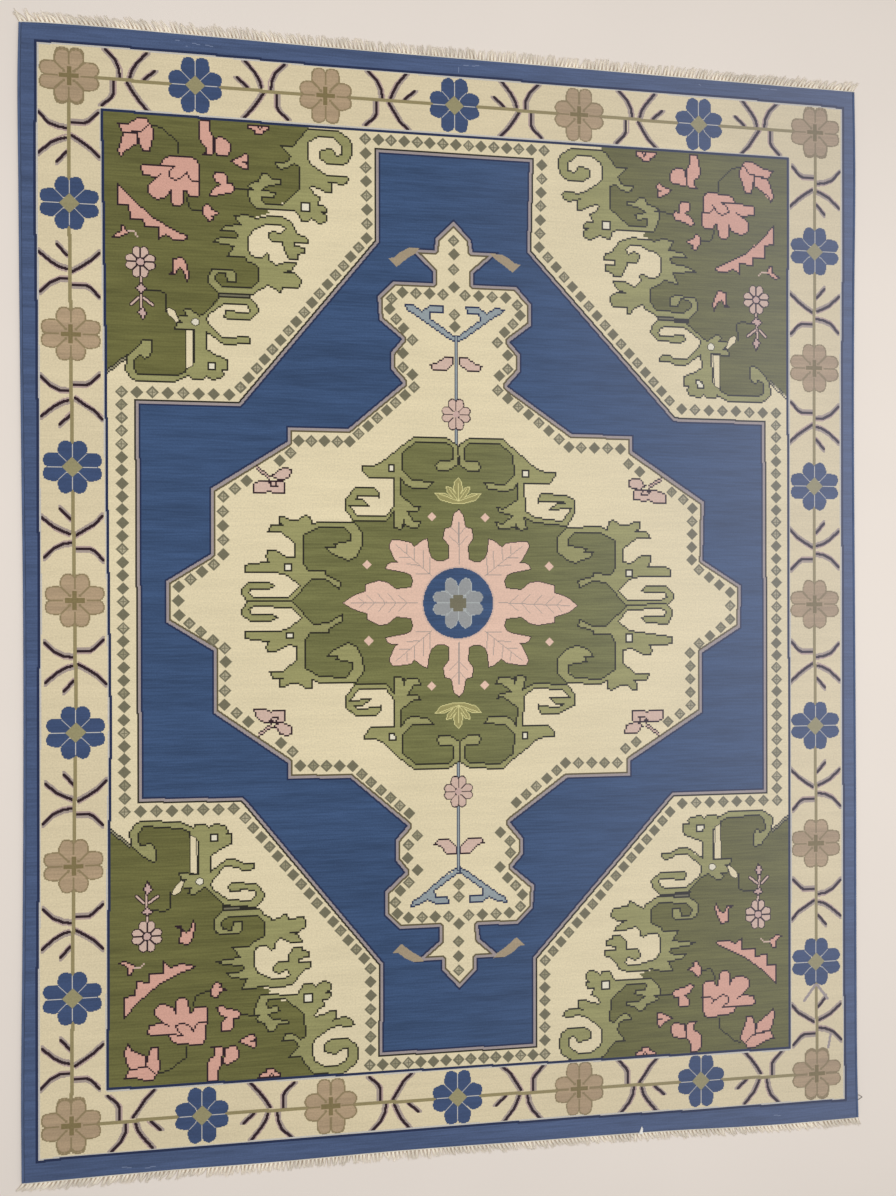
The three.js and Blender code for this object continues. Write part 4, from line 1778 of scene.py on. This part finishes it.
@dataclass(frozen=True)
class DiamondRow:
    """Small diamonds in a row, filled or open.

    Attributes:
        path: middles of the diamonds, or only of the first and last in a straight row.
        kinds: one letter each: D dark, M medium and L light.
        half: half the width of a diamond, in plan units.
        hollow: half the width of the open middle.
        cross: half the width of the cross in it.
    """

    path: Loop
    kinds: str
    half: float = 4.7
    hollow: float = 2.9
    cross: float = 2.0

    def weave(self, chart: Chart) -> None:
        """Weaves the row.

        Args:
            chart: the chart that takes it.
        """
        inner = {"M": Dye.LICHEN, "L": Dye.STRAW}
        stops = np.linspace(0, len(self.path) - 1, len(self.kinds))
        places = [np.interp(stops, range(len(self.path)), values) for values in zip(*self.path)]
        for u, v, kind in zip(*places, self.kinds):
            chart.fill(diamond(u, v, self.half), Dye.MOSS, grain=1)
            if kind in inner:
                chart.fill(diamond(u, v, self.hollow), inner[kind], grain=1)
                chart.line([(u - self.cross, v), (u + self.cross, v)], Dye.MOSS, grain=1)
                chart.line([(u, v - self.cross), (u, v + self.cross)], Dye.MOSS, grain=1)


# Each row of small diamonds: its path and its kinds
OUTER_DIAMONDS = [
    ([(-75, 350), (63, 350)], "LDLDLDLDLDLDLDL"),
    ([(-73.5, 286), (-74.7, 339)], "LDLDLD"),
    ([(-167, 160), (-74, 275)], "LDLDLDLDLDLDLLDLD"),
    ([(-252, 154.4), (-175.4, 154.4)], "LDLDLDDD"),
    ([(-252, 145), (-250, -142)], "MLLLDDDDDDDLDDDLDLDMDDMDDLDDDMM"),
    ([(-250, -151.6), (-172.3, -151.6)], "LDMDMMMM"),
    ([(-164, -159), (-76.5, -267.6)], "LMDMDMDMDMDDMDMD"),
    ([(-71.6, -275.3), (-71.6, -337)], "MDDMMMD"),
    ([(-72.4, -348.2), (63, -349.2)], "LDMLDDDMMMMDLDL"),
    ([(62.8, -287.6), (62.8, -338.4)], "MDMDLD"),
    ([(63.1, -276.7), (164, -165)], "LMDMDDMDMMDMDMDMD"),
    ([(174.2, -158.5), (253.8, -158.5)], "DLDMDMML"),
    ([(253.1, 151.7), (253.5, -149)], "MLLMDMDDDLLDDLDLLLDDDLLDMMLLMLLM"),
    ([(174, 153), (242, 151.7)], "DLDMDLD"),
    ([(65.9, 267.3), (164, 159.4)], "LDLDDLDLDLDLDLDL"),
    ([(59.2, 275), (61.3, 338.7)], "DLDLDLD"),
]
INNER_DIAMONDS = [
    ([
        (-7.9, 276.7), (-7.7, 266.3), (-7.7, 254.5), (-7.4, 241), (-7.3, 220.3), (-6.8, 211.3),
    ], "LDLDLD"),
    ([
        (-4.5, -215), (-4.4, -224.3), (-4.5, -245), (-4.5, -258.5), (-4.4, -269.8), (-4.5, -280.6),
    ], "MLDMDL"),
    ([(-16, 235.3), (-47, 235.3)], "LDLD"),
    ([
        (-55.3, 230.5), (-56.7, 222.7), (-51.9, 215.2), (-46.1, 208.5), (-39.3, 199.7), (-46.6, 189.6),
        (-46.6, 178.9), (-39.4, 173.3),
    ], "LDLDLDLD"),
    ([(-38.2, 163.8), (-86.9, 121.6)], "LDLDLDLD"),
    ([(-95.9, 121.5), (-124.9, 121.4)], "LDLD"),
    ([(-130.7, 112.5), (-138.8, 106.3)], "LD"),
    ([(-162.8, 91), (-179.6, 79.1)], "DLL"),
    ([(-179.8, 68.1), (-179.9, 36.4)], "LDLD"),
    ([(-186.7, 28.9), (-211.6, 12.4)], "LDLD"),
    ([(-211.8, 2.3), (-211.6, -8.5)], "DD"),
    ([(-204.3, -14.4), (-178.6, -33.1)], "LMML"),
    ([(-178.3, -43), (-178.9, -74.6)], "DLLD"),
    ([(-170.2, -81.1), (-161.7, -87.4)], "LD"),
    ([(-137.8, -104), (-129.5, -110.4)], "DL"),
    ([(-123.6, -121.1), (-85, -122.2)], "DMMDD"),
    ([(-78.1, -128.8), (-42.2, -159.3)], "MMMMLD"),
    ([
        (-36.3, -176.3), (-42.9, -183), (-43.6, -193.1), (-36, -202.9), (-42.6, -211.6), (-49.2, -217.6),
        (-53.1, -226.4), (-51.4, -234.8),
    ], "MLDDLDLD"),
    ([(-42.9, -238.6), (-12.2, -238.9)], "DLDL"),
    ([(1.1, 235.1), (32.7, 235)], "LDLD"),
    ([
        (41.7, 229.5), (43.8, 221.8), (38.6, 214.8), (31.9, 208.4), (26, 200.1), (34.4, 190.6),
        (34.4, 180.1), (27.7, 174.5),
    ], "LDLDLDLD"),
    ([(26.5, 163.5), (82.5, 121)], "LDLDLDLD"),
    ([(92.4, 120.9), (123.9, 120.6)], "LDLD"),
    ([(130.5, 108.6), (139.7, 103)], "MD"),
    ([(165.7, 87.2), (175.4, 81.3)], "ML"),
    ([(182.7, 74.7), (182.3, 33.8)], "DLDDD"),
    ([(188.1, 26), (214.1, 8.1)], "LDDD"),
    ([(214.1, -2.6), (214.1, -13.3)], "LM"),
    ([(206.5, -19.9), (188.4, -32.4)], "MDL"),
    ([(180.8, -39.7), (181.1, -81.2)], "MMMML"),
    ([(172.4, -87.7), (162.5, -93.7)], "LM"),
    ([(136.5, -109.4), (127.6, -114.2)], "ML"),
    ([(121.1, -125.1), (79.3, -124.1)], "LMMLD"),
    ([(72.3, -129.9), (40.7, -153.7)], "MDLMD"),
    ([
        (27.8, -176.3), (35.5, -182.9), (35.8, -192.4), (27.7, -202.9), (33.7, -211.6), (40, -217.6),
        (45.2, -225), (43.8, -234),
    ], "DMMDDLDL"),
    ([(34.8, -238.6), (3.3, -238.9)], "DLDL"),
]


@dataclass
class Corner:
    """One green corner with its beasts, flowers and buds.

    Attributes:
        quarter: the quarter that it lies in.
    """

    quarter: Quarter

    def shape(self, chart: Chart, points: Loop, fill: Dye, edge: Dye = Dye.DARK) -> None:
        """Weaves a closed shape of this quarter, with a line along its edge."""
        chart.shape(self.quarter.place(points), fill, edge)

    def line(self, chart: Chart, points: Loop, dye: Dye = Dye.DARK, width: int = 1, grain: int = 2) -> None:
        """Weaves a line of this quarter."""
        chart.line(self.quarter.place(points), dye, width, grain)

    def weave(self, chart: Chart) -> None:
        """Weaves the corner over the cream field.

        Args:
            chart: the chart that takes it.
        """
        chart.fill(self.quarter.place(CORNER_GROUND), Dye.OLIVE)
        self.weave_edge(chart)
        self.weave_beasts(chart)
        self.weave_pinks(chart)
        self.weave_hanging_flower(chart)

    def weave_edge(self, chart: Chart) -> None:
        """Weaves the pale line where green meets cream, between two dark ones.

        Args:
            chart: the chart that takes it.
        """
        for rise, dye in ((1.8, Dye.DARK), (0.6, Dye.LICHEN), (-0.8, Dye.DARK)):
            self.line(chart, [(-263, 167.5 + rise), (-248.5, 180 + rise)], dye)

    def weave_beasts(self, chart: Chart) -> None:
        """Weaves the three hooked beasts, one above another.

        Args:
            chart: the chart that takes them.
        """
        for points in (UPPER_BEAST, MIDDLE_BEAST, LOWER_BEAST):
            self.shape(chart, points, Dye.SAGE)
        self.line(chart, [(-103, 316), (-100, 315)])
        self.shape(chart, box_of(-183, 227, -160, 229), Dye.MOSS)
        for points in (TOOTH, NECK_STRIP):
            chart.shape(self.quarter.place(points), Dye.CREAM, Dye.DARK, grain=1)
        self.shape(chart, box_of(-123, 293, -116.5, 299.5), Dye.WHITE)
        self.shape(chart, box_of(-190.5, 172.5, -185.5, 177.5), Dye.WHITE)
        chart.shape(self.quarter.place(disc(-199.5, 207, 2.8, 12)), Dye.WHITE, Dye.DARK, grain=1)

    def weave_pinks(self, chart: Chart) -> None:
        """Weaves the pink flowers, buds and leaves.

        Args:
            chart: the chart that takes them.
        """
        self.line(chart, TULIP_TENDRIL)
        for points in (FORKED_BUD_STEM, SMALL_BUD_STEM):
            self.line(chart, points)
        for points in (TULIP_SIDE, TULIP_UPPER, TULIP_LOWER, PALMETTE, BOOT, BOOT_HEEL, HALF_FLOWER):
            self.shape(chart, points, Dye.PINK, Dye.PLUM)
        for points in PALMETTE_VEINS:
            self.line(chart, points, Dye.PLUM)
        self.line(chart, HALF_FLOWER_EYE, Dye.PLUM)
        for points in (POINTED_BUD, FORKED_BUD, SMALL_BUD, SAW_LEAF, ARROW_BUD, COMMA_LEAF):
            self.shape(chart, points, Dye.PINK, Dye.PLUM)
        self.line(chart, ARROW_STEM, Dye.LILAC)

    def weave_hanging_flower(self, chart: Chart) -> None:
        """Weaves the small lilac flower with its stem, buds and leaves.

        Args:
            chart: the chart that takes it.
        """
        self.line(chart, [(-234, 229), (-225, 229), (-221, 226), (-221, 214)])
        self.line(chart, [(-238, 243), (-238, 214)], Dye.PLUM, width=4, grain=1)
        self.line(chart, [(-238, 240), (-238, 216)], Dye.LILAC, width=2, grain=1)
        for leaf in ([(-240, 223), (-245, 218)], [(-236, 223), (-230, 218)]):
            self.line(chart, leaf, Dye.PLUM, width=4, grain=1)
            self.line(chart, leaf, Dye.LILAC, width=2, grain=1)
        self.shape(chart, [(-238, 234), (-234, 230), (-238, 226), (-242, 230)], Dye.ROSE, Dye.PLUM)
        self.shape(chart, [(-237, 217), (-234, 213), (-237, 207), (-240, 213)], Dye.ROSE, Dye.PLUM)
        u, v = self.quarter.place([(-238.5, 249.4)])[0]
        Flower(u, v, 0.55, rib=2).weave(chart, Dye.LILAC, Dye.PLUM, Dye.PLUM)
        chart.fill(disc(u, v, 3.6, 12), Dye.PLUM, grain=1)
        chart.fill(disc(u, v, 2.6, 12), Dye.ROSE, grain=1)


@dataclass
class Field:
    """The field inside the border: cream, four green corners, blue hexagon and medallion."""

    def weave(self, chart: Chart) -> None:
        """Weaves the field from the outside in.

        Args:
            chart: the chart that takes it.
        """
        chart.fill(GUARD_LINE, Dye.CREAM)
        for quarter in QUARTERS:
            Corner(quarter).weave(chart)
        for row in OUTER_DIAMONDS:
            DiamondRow(*row).weave(chart)
        chart.rings(HEXAGON, [(Dye.DARK, 2), (Dye.HEATHER, 3), (Dye.NAVY, 2)], Dye.FIELD_BLUE, grain=1)
        chart.rings(MEDALLION, [(Dye.HEATHER, 4), (Dye.UMBER, 2)], Dye.CREAM, grain=1)
        chart.line(MEDALLION, Dye.NAVY, width=2, grain=1, closed=True)
        for row in INNER_DIAMONDS:
            DiamondRow(*row).weave(chart)
        self.weave_axis(chart)
        self.weave_middle(chart)

    def weave_axis(self, chart: Chart) -> None:
        """Weaves the hooks, branches and stems along the medallion's long way.

        Args:
            chart: the chart that takes them.
        """
        for quarter in QUARTERS:
            chart.fill(quarter.place(HOOK), Dye.KHAKI, grain=1)
            chart.shape(quarter.place(BRANCH), Dye.SLATE, Dye.NAVY)
            chart.shape(quarter.place(STEM_LEAF), Dye.LILAC, Dye.PLUM)
            chart.shape(quarter.place(BUTTERFLY), Dye.LILAC, Dye.PLUM)
            chart.shape(quarter.place(BUTTERFLY_PETAL), Dye.LILAC, Dye.PLUM)
            chart.line(quarter.place(BUTTERFLY_EYE), Dye.PLUM, closed=True)
            for rise, dye in ((1.2, Dye.PLUM), (0, Dye.LILAC), (-1.2, Dye.PLUM)):
                chart.line(quarter.place([(-155.2, 100.8 + rise), (-146, 94 + rise)]), dye)
        for side, u in ((1, -6.0), (-1, -4.5)):
            for reach, dye in ((4, Dye.NAVY), (2, Dye.SLATE)):
                chart.line([(u, side * 203), (u, side * 121)], dye, width=reach, grain=1)
            Flower(u, side * 144, 0.57).weave(chart, Dye.LILAC, Dye.PLUM, Dye.PLUM)
            chart.fill(disc(u, side * 144, 2.6, 12), Dye.ROSE, grain=1)

    def weave_middle(self, chart: Chart) -> None:
        """Weaves the green middle with its figures, star and flower.

        Args:
            chart: the chart that takes it.
        """
        chart.fill(all_round(CENTRE_GROUND), Dye.MEADOW)
        for quarter in QUARTERS:
            for points in (UPPER_FIGURE, SIDE_FIGURE):
                chart.shape(quarter.place(points), Dye.SAGE, Dye.DARK)
            chart.line(quarter.place([(-46, 63), (-46, 58)]), Dye.DARK)
            chart.shape(quarter.place(box_of(-57.5, 100, -53, 104.5)), Dye.WHITE, Dye.DARK)
            chart.shape(quarter.place(box_of(-135, 24, -130, 29)), Dye.WHITE, Dye.DARK)
        for u, v in SMALL_DIAMONDS:
            chart.fill(diamond(u, v, 3.5), Dye.BLUSH, grain=1)
        self.weave_crowns(chart)
        chart.shape(all_round(STAR[::-1]), Dye.BLUSH, Dye.PLUM, grain=1)
        for quarter in QUARTERS:
            for vein in STAR_VEINS:
                chart.line(quarter.place(vein), Dye.ASH, grain=1)
        chart.fill(disc(FLOWER_U, 0, ROUNDEL + 1.2), Dye.LILAC, grain=1)
        chart.fill(disc(FLOWER_U, 0, ROUNDEL), Dye.FIELD_BLUE, grain=1)
        pointed = Flower(FLOWER_U, 0, rim=1, petal=POINTED_PETAL, side_petal=POINTED_SIDE_PETAL)
        chart.fill(disc(FLOWER_U, 0, 9, 16), Dye.GREY, grain=1)
        pointed.weave(chart, Dye.GREY, Dye.PALE, Dye.PALE)
        for across, up in ((6.3, 3.8), (3.8, 6.3)):
            chart.fill(box_of(FLOWER_U - across, -up, FLOWER_U + across, up), Dye.MOSS, grain=1)

    def weave_crowns(self, chart: Chart) -> None:
        """Weaves the two yellow-edged leaf crowns above and below the star.

        Args:
            chart: the chart that takes them.
        """
        half = np.array(LEAF_CROWN)
        middle = half[0, 0]
        crown = np.concatenate([half, (half * (-1, 1) + (2 * middle, 0))[::-1]])
        for along in (1, -1):
            chart.shape(crown * (1, along), Dye.FERN, Dye.GOLD, grain=1)
            chart.line([(middle, 91 * along), (middle, 78 * along)], Dye.GOLD, grain=1)
            for tip in ((-11, 87), (-19, 83)):
                for side in (1, -1):
                    start = (middle + side * (tip[0] - middle), tip[1] * along)
                    chart.line([start, (middle, 78 * along)], Dye.GOLD, grain=1)


class Side(Enum):
    """The four sides of the border: how far along and how far outwards point in u and v."""

    TOP = ((1, 0), (0, 1))
    BOTTOM = ((1, 0), (0, -1))
    LEFT = ((0, 1), (-1, 0))
    RIGHT = ((0, 1), (1, 0))

    def turn(self, points: Loop) -> np.ndarray:
        """Turns points along and outwards into u and v."""
        return np.asarray(points, float) @ np.array(self.value, float)


# Usual distance between the flowers of the border, in plan units
USUAL_GAP = 95


@dataclass(frozen=True)
class Bracket:
    """The curved lines that stand beside one kind of flower of the border.

    Attributes:
        reach: how far they stand off in a gap of the usual width, in plan units.
        give: share of a narrower gap that they give way.
        lines: places along and outwards, from the end of that reach.
    """

    reach: float
    give: float
    lines: tuple[tuple[Point, ...], ...]

    def at(self, gap: float) -> list[np.ndarray]:
        """Gives the lines as they stand in a gap between two flowers, from the flower's middle."""
        reach = self.reach - (USUAL_GAP - gap) * self.give
        return [np.array(line) + (reach, 0) for line in self.lines]


BESIDE_BLUE = Bracket(48, 0.22, (
    ((-12, 21), (-5, 13), (-1.5, 7), (0, 2)),
    ((1.5, -2), (-3, -9), (-7, -15), (-13, -21)),
    ((-18, 8.5), (-10.5, 1.5)),
))
BESIDE_TAUPE = Bracket(40.5, 0.78, (
    ((-10.5, 21), (-3.5, 14), (-0.5, 7), (0, 1)),
    ((-4.5, -1.5), (-4.5, -11), (-6.5, -14), (-12.5, -20)),
))
# The lines of a bracket, from the lowest: how far each lies off it, its dye and its width
BRACKET_LINES = ((1.6, Dye.MAUVE, 2), (-1.8, Dye.ASH, 3), (0, Dye.PLUM, 3))
# The cross in a taupe flower over its gap, from the lowest: half its width, half its height and dye
CROSS_ARMS = ((8, 2.6, Dye.TAUPE), (2.6, 8, Dye.TAUPE), (7, 1.6, Dye.CROSS), (1.6, 7, Dye.CROSS))


@dataclass
class Border:
    """The cream border: flowers on a stem, brackets between them, and lines along both edges.

    Attributes:
        sides: the middles of each side's flowers, in turn taupe and blue.
        edging: width of the pale line inside both edges, in half knots.
    """

    sides: tuple[tuple[Side, Loop], ...] = (
        (Side.TOP, [
            (-288, 381.5), (-199.5, 381), (-104.5, 380.3), (-7, 380), (91, 379.6), (188.5, 379), (287, 379),
        ]),
        (Side.BOTTOM, [
            (-287.5, -377), (-195.5, -376.5), (-101.5, -377), (-5.5, -377.5), (90, -378), (189.5, -379),
            (287.5, -380.5),
        ]),
        (Side.LEFT, [
            (-287.5, -377), (-286.5, -285), (-285.5, -189.5), (-284, -93), (-284.5, 2.5), (-286, 99),
            (-287, 195), (-288, 289.5), (-288, 381.5),
        ]),
        (Side.RIGHT, [
            (287.5, -380.5), (287, -290), (287, -194.5), (286.5, -99.5), (286, -1.5), (286, 93.5),
            (286, 189), (286.5, 283), (287, 379),
        ]),
    )
    edging: int = 3

    def weave(self, chart: Chart) -> None:
        """Weaves the border over the edge of the field.

        Args:
            chart: the chart that takes it.
        """
        border = chart.inside(GUARD_LINE, 1) & ~chart.inside(INNER_LINE, 1)
        chart.paint(border, Dye.SAND, 1)
        for side, middles in self.sides:
            self.weave_brackets(chart, side, middles)
            chart.line(middles, Dye.STEM, width=4, grain=1)
        for line in STRAY_LINES:
            chart.line(line, Dye.HEATHER, width=3, grain=1)
        for side, middles in self.sides:
            for number, (u, v) in enumerate(middles):
                self.weave_flower(chart, u, v, number % 2 == 1, side in (Side.LEFT, Side.RIGHT))
        kept = border
        for step in range(self.edging):
            kept = shrunk(kept, diagonal=step % 2 == 1)
        chart.paint(border & ~kept, Dye.HALO, 1)
        for line in (GUARD_LINE, INNER_LINE):
            chart.line(line, Dye.NAVY, width=3, grain=1, closed=True)
        for mark in LINT_MARKS:
            chart.line(mark, Dye.LINT, grain=1)

    def weave_flower(self, chart: Chart, u: float, v: float, blue: bool, sideways: bool) -> None:
        """Weaves one flower of the border.

        Args:
            chart: the chart that takes it.
            u: its place across the rug, in plan units.
            v: its place along it.
            blue: whether it is blue and not taupe.
            sideways: whether its long way lies across the rug.
        """
        if blue:
            Flower(u, v, 1.0, sideways).weave(chart, Dye.FLOWER_BLUE, Dye.HALO, Dye.FLOWER_BLUE)
            chart.fill(diamond(u, v, 7.3), Dye.MUSTARD, grain=1)
        else:
            Flower(u, v, 1.0, sideways, rim=3, rib=2).weave(chart, Dye.TAUPE, Dye.BRONZE, Dye.BRONZE)
            for across, up, dye in CROSS_ARMS:
                chart.fill(box_of(u - across, v - up, u + across, v + up), dye, grain=1)

    def weave_brackets(self, chart: Chart, side: Side, middles: Loop) -> None:
        """Weaves the curved brackets between neighbouring flowers of one side.

        Args:
            chart: the chart that takes them.
            side: the side of the border.
            middles: the middles of its flowers, in turn taupe and blue.
        """
        for number, (start, end) in enumerate(zip(middles[:-1], middles[1:])):
            beside = (BESIDE_BLUE, BESIDE_TAUPE) if number % 2 == 1 else (BESIDE_TAUPE, BESIDE_BLUE)
            for middle, way, bracket in zip((start, end), (1, -1), beside):
                for line in bracket.at(math.dist(start, end)):
                    points = side.turn(line * (way, 1)) + middle
                    for shift, dye, width in BRACKET_LINES:
                        chart.line(points + side.turn([(shift * way, 0)]), dye, width, grain=1)


def main() -> None:
    """Builds the rug piece by piece."""
    logging.basicConfig(level=logging.INFO, format="%(name)s: %(message)s")
    studio = Studio()
    studio.camera()
    chart = Chart()
    for part in (Field(), Border()):
        part.weave(chart)
    pile = Pile(chart).build()
    selvedges = [Selvedge(side).build() for side in (-1, 1)]
    top = Fringe(
        end=1,
        lean=Drift(
            (-1285, -1000, -700, -400, 0, 300, 700, 900, 1285),
            (-42, -35, -21, -20, -8, 10, 15, 30, 38),
        ),
        length=Drift((-1285, -1000, -600, 0, 500, 900, 1285), (42, 40, 38, 36, 37, 38, 40)),
        pitch=12.2,
        rib=3.3,
    ).build()
    bottom = Fringe(
        end=-1,
        lean=Drift(
            (-1285, -900, -700, -400, -200, 0, 400, 800, 1285),
            (-42, -25, -15, -5, 10, 25, 30, 30, 38),
        ),
        length=Drift((-1285, -1000, -600, -200, 200, 800, 1285), (34, 33, 32, 31, 31, 31, 32)),
        pitch=12.0,
        rib=6.0,
    ).build()
    others = [*selvedges, *top, *bottom, LooseEnds().build()]
    for piece in (pile, *others):
        LOG.info("%s: %d triangles", piece.name, len(piece.data.loops) - 2 * len(piece.data.polygons))
    studio.floor()
    studio.light()


if __name__ == "__main__":
    main()
